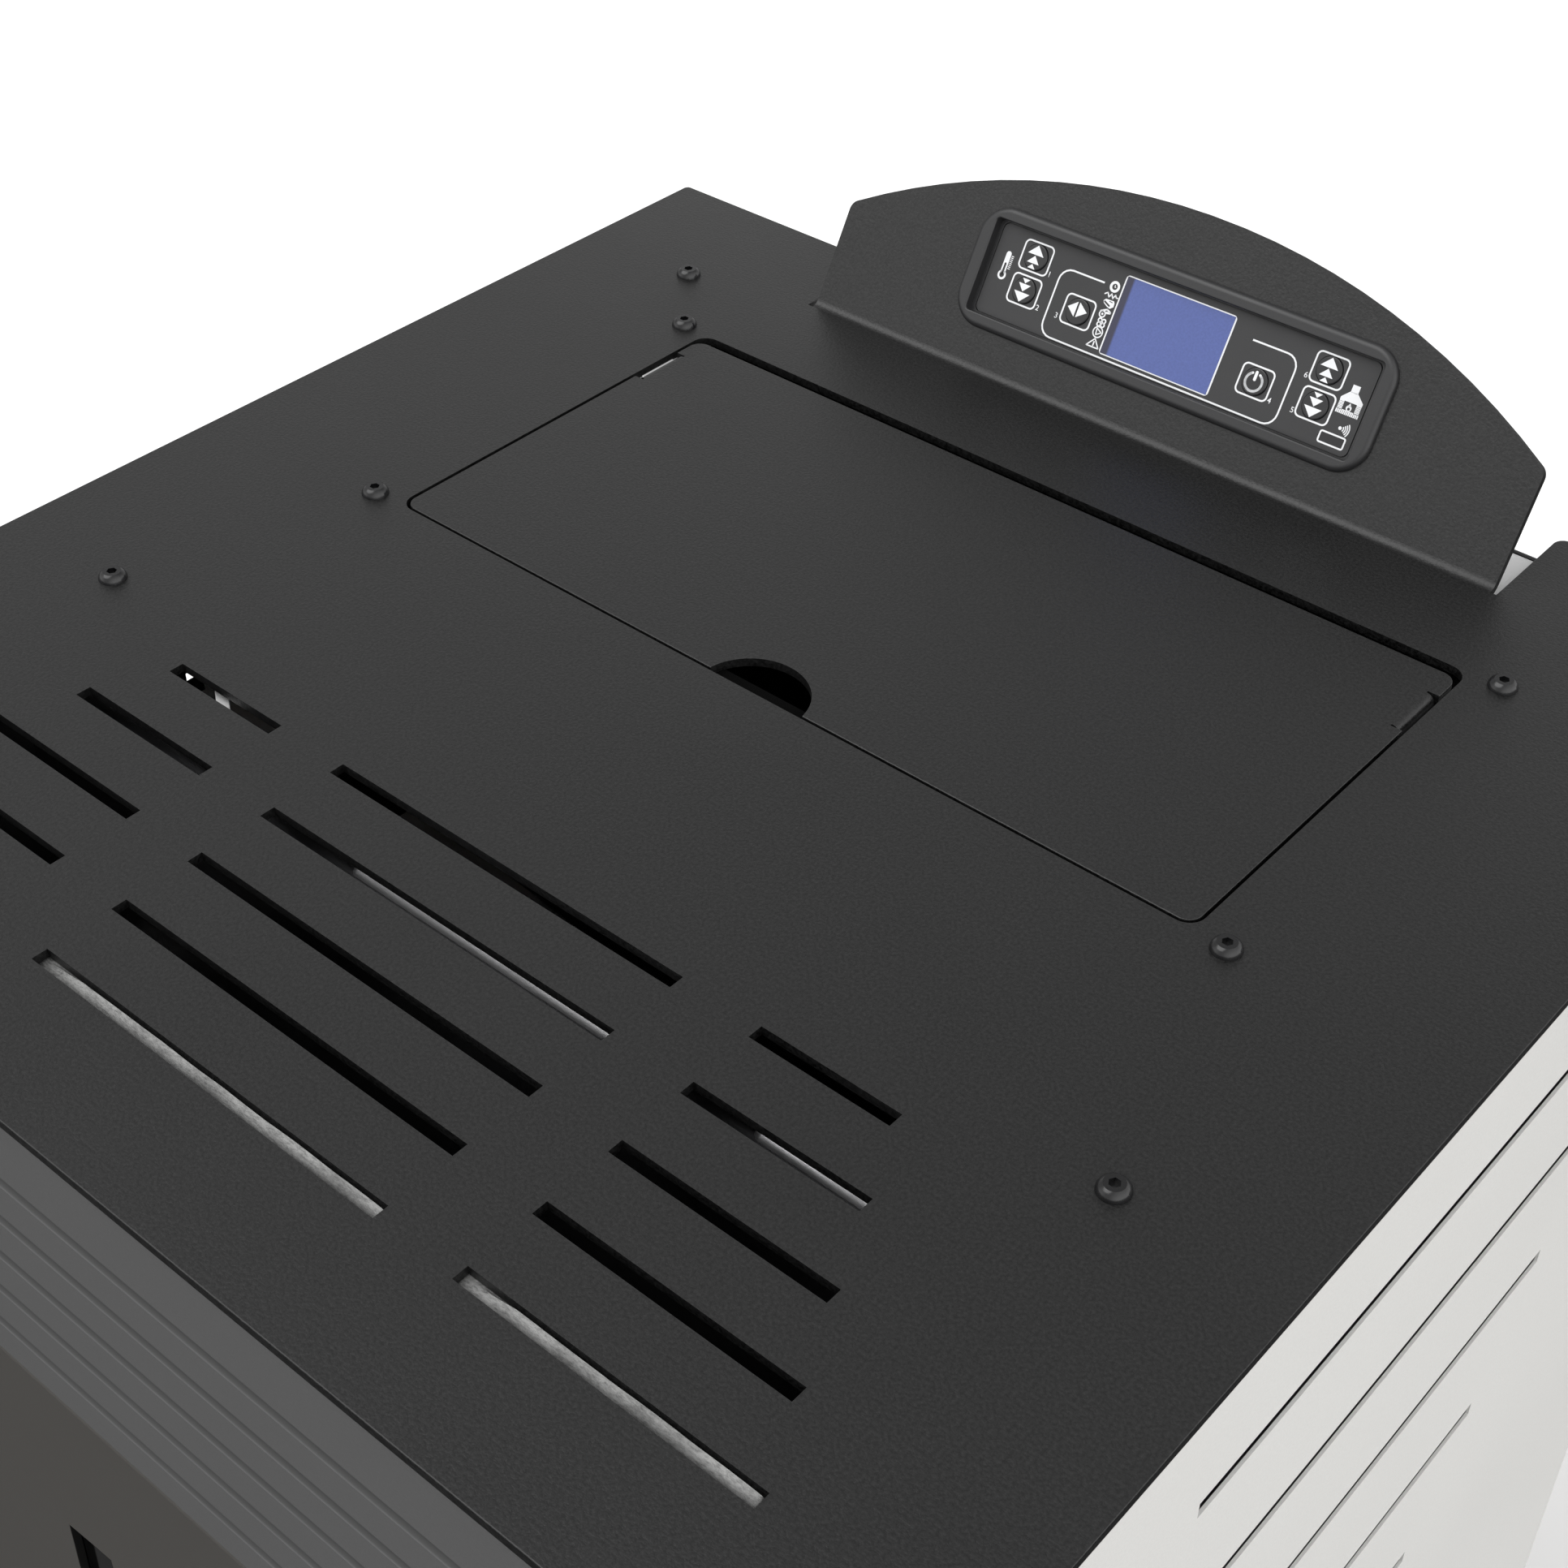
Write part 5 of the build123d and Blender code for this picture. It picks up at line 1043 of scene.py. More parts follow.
    def dress_nodes(self) -> None:
        """Gives each CAD node its finish, through its object's own material slots."""
        for finish, names in self.nodes_of.items():
            for name in names.split():
                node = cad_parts[name]
                if not node.material_slots:
                    node.data.materials.append(None)
                for slot in node.material_slots:
                    slot.material = self.material(finish)
                LOG.info("finish %s on %s", finish.name, name)


# ---------------------------------------------------------------- modelling by hand


@dataclass
class EditMode:
    """Edit mode on the active piece, for the length of a with block."""

    take_all: bool = True

    def __enter__(self) -> None:
        """Opens the piece, with all of it selected if that is asked for."""
        bpy.ops.object.mode_set(mode="EDIT")
        if self.take_all:
            bpy.ops.mesh.select_all(action="SELECT")

    def __exit__(self, *problem: object) -> None:
        """Goes back to object mode."""
        bpy.ops.object.mode_set(mode="OBJECT")


class Bench:
    """Steps of hand modelling that every sub-assembly uses."""

    @staticmethod
    def clear() -> None:
        """Leaves nothing selected."""
        bpy.ops.object.select_all(action="DESELECT")

    @staticmethod
    def pick(piece: Piece) -> None:
        """Selects one piece alone and makes it the active one.

        Args:
            piece: the piece.
        """
        Bench.clear()
        piece.select_set(True)
        bpy.context.view_layer.objects.active = piece

    @staticmethod
    def apply() -> Piece:
        """Puts the active piece's place, turn and size into its mesh, and gives the piece."""
        bpy.ops.object.transform_apply(location=True, rotation=True, scale=True)
        return bpy.context.object

    @staticmethod
    def smooth(angle: float = SMOOTH_BELOW) -> None:
        """Smooths the active piece's shading across edges that turn by less than an angle."""
        bpy.ops.object.shade_smooth_by_angle(angle=angle)

    @staticmethod
    def join(parts: list[Piece], name: str) -> Piece:
        """Joins parts into one named piece.

        Args:
            parts: the parts.
            name: the piece's name.

        Returns:
            The piece.
        """
        Bench.pick(parts[0])
        for part in parts:
            part.select_set(True)
        if len(parts) > 1:
            bpy.ops.object.join()
        made = bpy.context.object
        made.name = made.data.name = name
        return made

    @staticmethod
    def thicken(piece: Piece, thickness: float) -> None:
        """Gives a flat shape its thickness, upwards from the drawing plane.

        Args:
            piece: the flat shape.
            thickness: its thickness, in the drawing's own unit.
        """
        Bench.pick(piece)
        modifier = piece.modifiers.new("thickness", "SOLIDIFY")
        modifier.thickness = thickness
        modifier.offset = 1.0
        bpy.ops.object.modifier_apply(modifier=modifier.name)

    @staticmethod
    def soften(piece: Piece, width: float, segments: int = 3) -> None:
        """Rounds the active piece's sharp edges with an applied bevel and smooths its shading.

        Args:
            piece: the piece to round.
            width: the width of the rounding, in metres.
            segments: how many faces the rounding takes.
        """
        rounding = piece.modifiers.new("rounding", "BEVEL")
        rounding.width = width
        rounding.segments = segments
        rounding.limit_method = "ANGLE"
        bpy.ops.object.modifier_apply(modifier=rounding.name)
        Bench.smooth()

    @staticmethod
    def settle(piece: Piece, place: Matrix) -> None:
        """Moves a piece to its place and puts that place into its mesh.

        Args:
            piece: the piece.
            place: the transform from where it was modelled to where it belongs.
        """
        Bench.pick(piece)
        piece.matrix_world = place @ piece.matrix_world
        Bench.apply()


class Arrow(Enum):
    """Which way a key's arrows point."""

    UP = math.radians(90)
    DOWN = math.radians(-90)
    LEFT = math.radians(180)
    RIGHT = 0.0


class Pen:
    """Draws flat shapes as meshes in the drawing plane, in millimetres."""

    round_end: float = 0.49
    end_segments: int = 4
    corner_segments: int = 5
    figure_size: float = 1.42
    figure_swell: float = 0.012
    figure_steps: int = 4

    @staticmethod
    def shift(points: tuple[Point, ...] | list[Point], origin: Point) -> list[Point]:
        """Moves points by a drawing's own origin."""
        return [(origin[0] + across, origin[1] + up) for across, up in points]

    @staticmethod
    def plane(width: float, height: float, centre: Point) -> Piece:
        """Draws a filled rectangle.

        Args:
            width: its width.
            height: its height.
            centre: its middle.

        Returns:
            The shape.
        """
        Bench.clear()
        bpy.ops.mesh.primitive_plane_add(size=1, location=(*centre, 0))
        bpy.ops.transform.resize(value=(width, height, 1))
        return Bench.apply()

    @staticmethod
    def disc(radius: float, centre: Point, corners: int = 32, turn: float = 0.0) -> Piece:
        """Draws a filled circle or regular polygon.

        Args:
            radius: its radius.
            centre: its middle.
            corners: how many corners it has.
            turn: how far it is turned, in radians.

        Returns:
            The shape.
        """
        Bench.clear()
        bpy.ops.mesh.primitive_circle_add(
            vertices=corners, radius=radius, fill_type="NGON", location=(*centre, 0)
        )
        bpy.context.object.rotation_euler = (0, 0, turn)
        return Bench.apply()

    @staticmethod
    def round_corners(radius: float, segments: int) -> None:
        """Rounds the corners of the open shape.

        Args:
            radius: the length that the rounding takes of each side.
            segments: how many edges it has.
        """
        bpy.ops.mesh.bevel(
            offset=radius, offset_pct=0, segments=segments, affect="VERTICES", clamp_overlap=True
        )

    @staticmethod
    def keep_border(width: float) -> None:
        """Keeps only a line along the border of the open shape.

        Args:
            width: the line's width.
        """
        bpy.ops.mesh.select_all(action="SELECT")
        bpy.ops.mesh.inset(thickness=width)
        bpy.ops.mesh.delete(type="FACE")

    @staticmethod
    def cut(point: Point, normal: Point, drop: bool = False) -> None:
        """Cuts the open shape along a line, and may drop what lies on the normal's side."""
        bpy.ops.mesh.select_all(action="SELECT")
        bpy.ops.mesh.bisect(plane_co=(*point, 0), plane_no=(*normal, 0), clear_outer=drop)

    @staticmethod
    def ring(radius: float, centre: Point, width: float, corners: int = 32) -> Piece:
        """Draws a ring.

        Args:
            radius: its outer radius.
            centre: its middle.
            width: the width of its line.
            corners: how many corners it has.

        Returns:
            The shape.
        """
        made = Pen.disc(radius, centre, corners)
        with EditMode():
            Pen.keep_border(width)
        return made

    @staticmethod
    def frame_line(size: Point, centre: Point, corner: float, width: float) -> Piece:
        """Draws a rounded rectangular line.

        Args:
            size: its outer width and height.
            centre: its middle.
            corner: the radius of its outer corners.
            width: the width of its line.

        Returns:
            The shape.
        """
        made = Pen.plane(*size, centre)
        with EditMode():
            Pen.round_corners(corner, Pen.corner_segments)
            Pen.keep_border(width)
        return made

    @staticmethod
    def bar(start: Point, end: Point, width: float, rounded: bool = False) -> Piece:
        """Draws a straight bar between two points.

        Args:
            start: the middle of one end.
            end: the middle of the other end.
            width: its width.
            rounded: whether round ends are added beyond the two points.

        Returns:
            The shape.
        """
        run = Vector(end) - Vector(start)
        made = Pen.plane(run.length + (width if rounded else 0.0), width, (0, 0))
        if rounded:
            with EditMode():
                Pen.round_corners(width * Pen.round_end, Pen.end_segments)
        made.rotation_euler = (0, 0, math.atan2(run.y, run.x))
        made.location = (*((Vector(end) + Vector(start)) / 2), 0)
        return Bench.apply()

    @staticmethod
    def path(points: list[Point], width: float) -> list[Piece]:
        """Draws a bent line as bars with round ends."""
        return [Pen.bar(start, end, width, True) for start, end in zip(points, points[1:])]

    @staticmethod
    def arrow(base: Point, way: Arrow, length: float, width: float) -> Piece:
        """Draws a solid triangle.

        Args:
            base: the middle of its base.
            way: the way it points.
            length: from its base to its tip.
            width: the width of its base.

        Returns:
            The shape.
        """
        # A regular triangle in a circle of radius 1 is 1.5 long and root 3 wide.
        made = Pen.disc(1.0, (0, 0), corners=3, turn=math.radians(-90))
        made.scale = (length / 1.5, width / math.sqrt(3), 1)
        made.location = (length / 3, 0, 0)
        Bench.apply()
        made.rotation_euler = (0, 0, way.value)
        made.location = (*base, 0)
        return Bench.apply()

    @staticmethod
    def patch(points: list[Point]) -> Piece:
        """Draws a filled shape.

        Args:
            points: its corners, in turn.

        Returns:
            The shape.
        """
        made = Pen.disc(1.0, (0, 0), corners=len(points))
        for corner, point in zip(made.data.vertices, reversed(points)):
            corner.co = (*point, 0)
        if made.data.polygons[0].normal.z < 0:
            made.data.flip_normals()
        return made

    @staticmethod
    def figure(text: str, centre: Point, height: float) -> Piece:
        """Draws a figure.

        Args:
            text: the figure.
            centre: its middle.
            height: the height of a capital.

        Returns:
            The shape, as a mesh.
        """
        Bench.clear()
        bpy.ops.object.text_add(location=(*centre, 0))
        curve = bpy.context.object.data
        curve.body = text
        curve.size = height * Pen.figure_size
        curve.offset = height * Pen.figure_swell
        curve.align_x = curve.align_y = "CENTER"
        curve.resolution_u = Pen.figure_steps
        bpy.ops.object.convert(target="MESH")
        return Bench.apply()

    @staticmethod
    def repeat(first: Piece, moves: list[Point]) -> list[Piece]:
        """Copies a shape, each copy with its own mesh.

        Args:
            first: the shape.
            moves: how far each copy lies from it.

        Returns:
            The shape and its copies, in order.
        """
        made = [first]
        for move in moves:
            Bench.pick(first)
            bpy.ops.object.duplicate(linked=False)
            bpy.context.object.location = (*move, 0)
            made.append(Bench.apply())
        return made


# ---------------------------------------------------------------- control panel


@dataclass
class Thermometer:
    """The thermometer left of the keys: a white outline with a dark core."""

    middle: float = -72.4
    bulb_level: float = 35.75
    bulb_radius: float = 1.75
    bulb_core: float = 0.95
    tube_bottom: float = 36.0
    tube_top: float = 43.5
    tube_width: float = 2.1
    core_top: float = 39.9
    core_width: float = 0.85
    tick_run: Point = (1.4, 2.4)
    tick_bottom: float = 38.5
    tick_step: float = 0.66
    tick_width: float = 0.3
    ticks: int = 8

    def white(self) -> list[Piece]:
        """Draws the tube, the bulb and the scale.

        Returns:
            The white shapes.
        """
        u = self.middle
        start, end = ((u + across, self.tick_bottom) for across in self.tick_run)
        steps = [(0.0, self.tick_step * step) for step in range(1, self.ticks)]
        return [
            Pen.bar((u, self.tube_bottom), (u, self.tube_top), self.tube_width, True),
            Pen.disc(self.bulb_radius, (u, self.bulb_level), corners=28),
            *Pen.repeat(Pen.bar(start, end, self.tick_width), steps),
        ]

    def dark(self) -> list[Piece]:
        """Draws the liquid in the tube and the bulb.

        Returns:
            The dark shapes.
        """
        u = self.middle
        return [
            Pen.bar((u, self.tube_bottom), (u, self.core_top), self.core_width, True),
            Pen.disc(self.bulb_core, (u, self.bulb_level), corners=24),
        ]


@dataclass
class StatusMarks:
    """The column of marks left of the display; places are measured from its middle line."""

    middle: Point = (-26.75, 0.0)
    clock: Point = (0.0, 46.1)
    clock_radius: float = 2.05
    clock_line: float = 0.95
    hands: tuple[Point, ...] = ((0.0, 46.6), (0.0, 46.0), (0.4, 46.0))
    hand_line: float = 0.3
    zigzag: tuple[Point, ...] = (
        (-2.8, 42.75), (-1.75, 43.5), (-0.85, 42.0), (-0.1, 43.5),
        (0.8, 42.0), (1.5, 43.5), (2.1, 42.6), (2.7, 42.7),
    )
    zigzag_line: float = 0.45
    pellet: tuple[Point, ...] = (
        (-2.35, 40.4), (-1.6, 41.2), (1.75, 41.3), (2.2, 40.7),
        (2.35, 39.3), (1.1, 38.3), (-0.3, 38.7), (-1.9, 39.6),
    )
    gleams: tuple[tuple[Point, Point, float], ...] = (
        ((-1.7, 40.2), (0.5, 39.2), 0.62), ((0.1, 40.75), (1.3, 40.65), 0.28),
    )
    fan: Point = (-0.9, 35.8)
    fan_radius: float = 1.4
    fan_line: float = 0.5
    hub_radius: float = 0.42
    blade: tuple[Point, ...] = ((-1.9, 36.7), (0.4, 37.8), (2.0, 37.1))
    blade_line: float = 0.6
    outlet: tuple[Point, Point] = ((0.3, 36.6), (1.9, 36.9))
    outlet_line: float = 0.8
    clover: Point = (-0.8, 32.08)
    clover_step: Point = (1.6, 1.44)
    clover_radius: float = 0.98
    clover_line: float = 0.52
    pump: Point = (0.0, 29.3)
    pump_radius: float = 2.15
    pump_line: float = 0.45
    rotor: tuple[Point, ...] = ((-0.8, 30.6), (-0.5, 28.2), (1.4, 29.4), (-0.8, 30.6))
    rotor_line: float = 0.42
    warning: tuple[Point, ...] = ((0.0, 26.9), (-2.6, 23.8), (2.5, 23.8), (0.0, 26.9))
    warning_line: float = 0.45
    stroke: tuple[Point, Point] = ((0.0, 25.7), (0.0, 24.4))
    stroke_line: float = 0.5

    def at(self, *points: Point) -> list[Point]:
        """Gives points of the column in the drawing."""
        return Pen.shift(points, self.middle)

    def white(self) -> list[Piece]:
        """Draws the clock, igniter, pellet, fan, clover, pump and warning triangle.

        Returns:
            The white shapes.
        """
        clock, fan, clover, pump = self.at(self.clock, self.fan, self.clover, self.pump)
        across, up = self.clover_step
        leaf = Pen.ring(self.clover_radius, clover, self.clover_line, corners=20)
        return [
            Pen.ring(self.clock_radius, clock, self.clock_line),
            *Pen.path(self.at(*self.hands), self.hand_line),
            *Pen.path(self.at(*self.zigzag), self.zigzag_line),
            Pen.patch(self.at(*self.pellet)),
            Pen.ring(self.fan_radius, fan, self.fan_line),
            Pen.disc(self.hub_radius, fan, corners=16),
            *Pen.path(self.at(*self.blade), self.blade_line),
            Pen.bar(*self.at(*self.outlet), self.outlet_line, True),
            *Pen.repeat(leaf, [(0.0, up), (across, 0.0), (across, up)]),
            Pen.ring(self.pump_radius, pump, self.pump_line),
            *Pen.path(self.at(*self.rotor), self.rotor_line),
            *Pen.path(self.at(*self.warning), self.warning_line),
            Pen.bar(*self.at(*self.stroke), self.stroke_line, True),
        ]

    def dark(self) -> list[Piece]:
        """Draws the gleams on the pellet."""
        return [Pen.bar(*self.at(start, end), line, True) for start, end, line in self.gleams]


@dataclass
class StoveMark:
    """The little stove right of the keys; places are measured from its lower middle."""

    foot: Point = (72.6, 34.0)
    flue_size: Point = (2.8, 2.7)
    flue: Point = (-0.15, 9.0)
    roof: tuple[Point, ...] = (
        (-1.55, 7.9), (1.25, 7.9), (4.2, 5.3), (4.2, 4.4), (-4.2, 4.4), (-4.2, 5.3),
    )
    grate: tuple[Point, Point] = ((-2.2, 1.35), (2.2, 1.35))
    grate_line: float = 0.3
    flame: Point = (0.0, 2.4)
    flame_radius: float = 1.05
    tip: Point = (0.0, 2.9)
    tip_size: Point = (1.3, 1.5)
    core: Point = (0.05, 2.2)
    core_radius: float = 0.5
    brick_left: tuple[Point, Point] = ((-4.15, 1.7), (-2.35, 1.7))
    brick_right: tuple[Point, Point] = ((4.15, 1.7), (2.35, 1.7))
    brick_line: float = 0.38
    brick_step: float = 0.5
    bricks: int = 6
    leg: tuple[Point, Point] = ((-4.0, 0.0), (-4.0, 1.3))
    leg_line: float = 0.5
    leg_step: float = 0.67
    legs: int = 13

    def at(self, *points: Point) -> list[Point]:
        """Gives points of the little stove in the drawing."""
        return Pen.shift(points, self.foot)

    def white(self) -> list[Piece]:
        """Draws the flue, the flared roof, the grate, the flame and the brick sides.

        Returns:
            The white shapes.
        """
        rows = [(0.0, self.brick_step * row) for row in range(1, self.bricks)]
        columns = [(self.leg_step * step, 0.0) for step in range(1, self.legs)]
        flue, flame, tip = self.at(self.flue, self.flame, self.tip)
        return [
            Pen.plane(*self.flue_size, flue),
            Pen.patch(self.at(*self.roof)),
            Pen.bar(*self.at(*self.grate), self.grate_line),
            Pen.disc(self.flame_radius, flame, corners=20),
            Pen.arrow(tip, Arrow.UP, *self.tip_size),
            *Pen.repeat(Pen.bar(*self.at(*self.brick_left), self.brick_line), rows),
            *Pen.repeat(Pen.bar(*self.at(*self.brick_right), self.brick_line), rows),
            *Pen.repeat(Pen.bar(*self.at(*self.leg), self.leg_line), columns),
        ]

    def dark(self) -> list[Piece]:
        """Draws the flame's core."""
        return [Pen.disc(self.core_radius, *self.at(self.core), corners=16)]


@dataclass
class ControlPanel:
    """The white print on the keypad film and on the keys.

    Sizes are millimetres on the tilted bracket: u to the right from the middle of the
    control bezel, v up the bracket from the bend line, and n out of it.
    """

    shelf: FinishShelf
    middle_x: float = 0.6
    bend_y: float = 206.5
    plate_top: float = 950.0
    tilt: float = 60.0
    film_level: float = -1.3
    key_level: float = -0.6
    ink: float = 0.04
    core_share: float = 0.9
    line: float = 0.62
    key_outline: Point = (12.95, 11.2)
    key_corner: float = 2.1
    figure_height: float = 2.0
    keys: tuple[Point, ...] = (
        (-61.1, 45.8), (-61.1, 33.3), (-37.2, 33.3), (37.2, 33.3), (61.1, 33.3), (61.1, 45.8),
    )
    figures: tuple[Point, ...] = (
        (-53.6, 41.8), (-53.5, 29.3), (-45.1, 29.3), (44.7, 29.1), (53.8, 29.1), (53.7, 41.6),
    )
    stack_sizes: tuple[Spot, ...] = ((0.8, 3.5, 6.8), (-2.35, 2.8, 5.2), (-4.25, 1.65, 3.2))
    stack_shift: float = -0.25
    menu_base: float = 0.7
    menu_left: Spot = (-0.72, 3.6, 5.5)
    menu_right: Spot = (0.05, 3.9, 5.5)
    power_shift: Point = (-0.2, -0.2)
    power_radius: float = 3.2
    power_line: float = 0.85
    power_opening: float = 27.0
    power_steps: int = 26
    stem: tuple[Point, Point] = ((-0.2, 0.7), (-0.2, 3.2))
    stem_width: float = 1.1
    loop_size: Point = (99.4, 25.6)
    loop_middle: Point = (0.05, 33.7)
    loop_corner: float = 5.0
    loop_gap: Point = (-31.2, 30.7)
    loop_gap_above: float = 42.0
    display_size: Point = (46.0, 29.1)
    display_middle: Point = (-0.7, 37.1)
    display_corner: float = 1.4
    display_width: float = 0.95
    lens: Point = (71.15, 24.7)
    lens_size: Point = (8.7, 3.1)
    lens_frame: Point = (10.1, 4.4)
    lens_corner: float = 0.95
    lens_line: float = 0.6
    wave_source: Point = (72.45, 29.4)
    wave_dot: float = 0.62
    wave_first: float = 1.45
    wave_step: float = 0.72
    wave_line: float = 0.4
    wave_half: float = 38.0
    waves: int = 4

    def place(self, level: float) -> Matrix:
        """Gives the transform from drawing millimetres to the bracket at a level.

        Args:
            level: the height along n.

        Returns:
            The transform.
        """
        lean = math.radians(self.tilt)
        up = Vector((0, math.cos(lean), math.sin(lean)))
        out = Vector((0, -math.sin(lean), math.cos(lean)))
        start = Vector((self.middle_x, self.bend_y, self.plate_top)) + out * level
        turn = Matrix((Vector((1, 0, 0)), up, out)).transposed().to_4x4()
        return Matrix.Scale(MM, 4) @ Matrix.Translation(start) @ turn

    def press(
        self,
        parts: list[Piece],
        name: str,
        level: float,
        body: str = "casing",
        finish: Finish | None = None,
    ) -> None:
        """Joins drawn parts, thickens them as ink and puts them on the bracket.

        Args:
            parts: flat shapes in the drawing plane.
            name: the piece's name.
            level: height along n that the ink lies on.
            body: the CAD body that carries it.
            finish: its finish, or None for white ink.
        """
        piece = Bench.join(parts, name)
        Bench.thicken(piece, self.ink)
        Bench.settle(piece, self.place(level))
        self.shelf.coat(piece, finish or self.shelf.ink)
        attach(piece, body)
        LOG.info("printed %s on %s", name, body)

    def key_outlines(self) -> None:
        """Prints the rounded outline round each key and its figure beside it."""
        first, *others = self.keys
        outline = Pen.frame_line(self.key_outline, first, self.key_corner, self.line)
        moves = [(u - first[0], v - first[1]) for u, v in others]
        self.press(Pen.repeat(outline, moves), "key_outlines", self.film_level)
        figures = [
            Pen.figure(str(number), spot, self.figure_height)
            for number, spot in enumerate(self.figures, start=1)
        ]
        self.press(figures, "key_figures", self.film_level)

    def key_marks(self) -> None:
        """Prints the arrows and the power mark on the keys; each rides on its own key."""
        faces = (
            self.stack(Arrow.UP), self.stack(Arrow.DOWN), self.menu_arrows(),
            self.power_mark(), self.stack(Arrow.DOWN), self.stack(Arrow.UP),
        )
        for number, (marks, spot) in enumerate(zip(faces, self.keys), start=1):
            for mark in marks:
                Bench.settle(mark, Matrix.Translation((*spot, 0)))
            self.press(marks, f"key_{number}_mark", self.key_level, f"button_{number}")

    def stack(self, way: Arrow) -> list[Piece]:
        """Draws three arrows that grow the way they point, round a key's middle.

        Args:
            way: up or down.

        Returns:
            The arrows.
        """
        sign = 1 if way is Arrow.UP else -1
        return [
            Pen.arrow((self.stack_shift, sign * base), way, length, width)
            for base, length, width in self.stack_sizes
        ]

    def menu_arrows(self) -> list[Piece]:
        """Draws two arrows that point left and right, round a key's middle.

        Returns:
            The arrows.
        """
        return [
            Pen.arrow((base, self.menu_base), way, length, width)
            for way, (base, length, width) in (
                (Arrow.LEFT, self.menu_left), (Arrow.RIGHT, self.menu_right)
            )
        ]

    def power_mark(self) -> list[Piece]:
        """Draws the power mark round a key's middle: an open ring of short bars, and a stem.

        Returns:
            The bars and the stem.
        """
        opening = math.radians(self.power_opening)
        step = 2 * (math.pi - opening) / self.power_steps
        turns = [math.pi / 2 + opening + step * count for count in range(self.power_steps + 1)]
        ring = [(self.power_radius * math.cos(t), self.power_radius * math.sin(t)) for t in turns]
        stem = Pen.bar(*self.stem, self.stem_width, True)
        return [*Pen.path(Pen.shift(ring, self.power_shift), self.power_line), stem]

    def loop(self) -> None:
        """Prints the long line that runs under the display and round both inner keys."""
        made = Pen.frame_line(self.loop_size, self.loop_middle, self.loop_corner, self.line)
        left, right = self.loop_gap
        with EditMode():
            for across in self.loop_gap:
                Pen.cut((across, 0), (1, 0))
            bpy.ops.mesh.select_all(action="DESELECT")
        for face in made.data.polygons:
            middle = face.center
            face.select = middle.y > self.loop_gap_above and left < middle.x < right
        with EditMode(take_all=False):
            bpy.ops.mesh.delete(type="FACE")
        self.press([made], "guide_loop", self.film_level)

    def display_line(self) -> None:
        """Prints the white line round the display window."""
        outline = Pen.frame_line(
            self.display_size, self.display_middle, self.display_corner, self.display_width
        )
        self.press([outline], "display_line", self.film_level)

    def receiver(self) -> None:
        """Prints the receiver's outline and waves, and lays its dark window."""
        shapes = [
            Pen.frame_line(self.lens_frame, self.lens, self.lens_corner, self.lens_line),
            Pen.disc(self.wave_dot, self.wave_source, corners=16),
        ]
        half = math.radians(self.wave_half)
        for step in range(self.waves):
            radius = self.wave_first + step * self.wave_step
            shapes.append(Pen.ring(radius, self.wave_source, self.wave_line, corners=36))
            with EditMode():
                for side in (-1, 1):
                    edge = (-math.sin(half), side * math.cos(half))
                    Pen.cut(self.wave_source, edge, drop=True)
        self.press(shapes, "receiver_marks", self.film_level)
        window = Pen.plane(*self.lens_size, self.lens)
        self.press([window], "receiver_lens", self.film_level, finish=self.shelf.lens)

    def build(self) -> None:
        """Prints everything."""
        self.key_outlines()
        self.key_marks()
        self.loop()
        self.display_line()
        core_level = self.film_level + self.ink * self.core_share
        for name, mark in (
            ("thermometer_mark", Thermometer()),
            ("status_marks", StatusMarks()),
            ("stove_mark", StoveMark()),
        ):
            self.press(mark.white(), name, self.film_level)
            self.press(mark.dark(), f"{name}_core", core_level, finish=self.shelf.film)
        self.receiver()


# ---------------------------------------------------------------- inside the duct


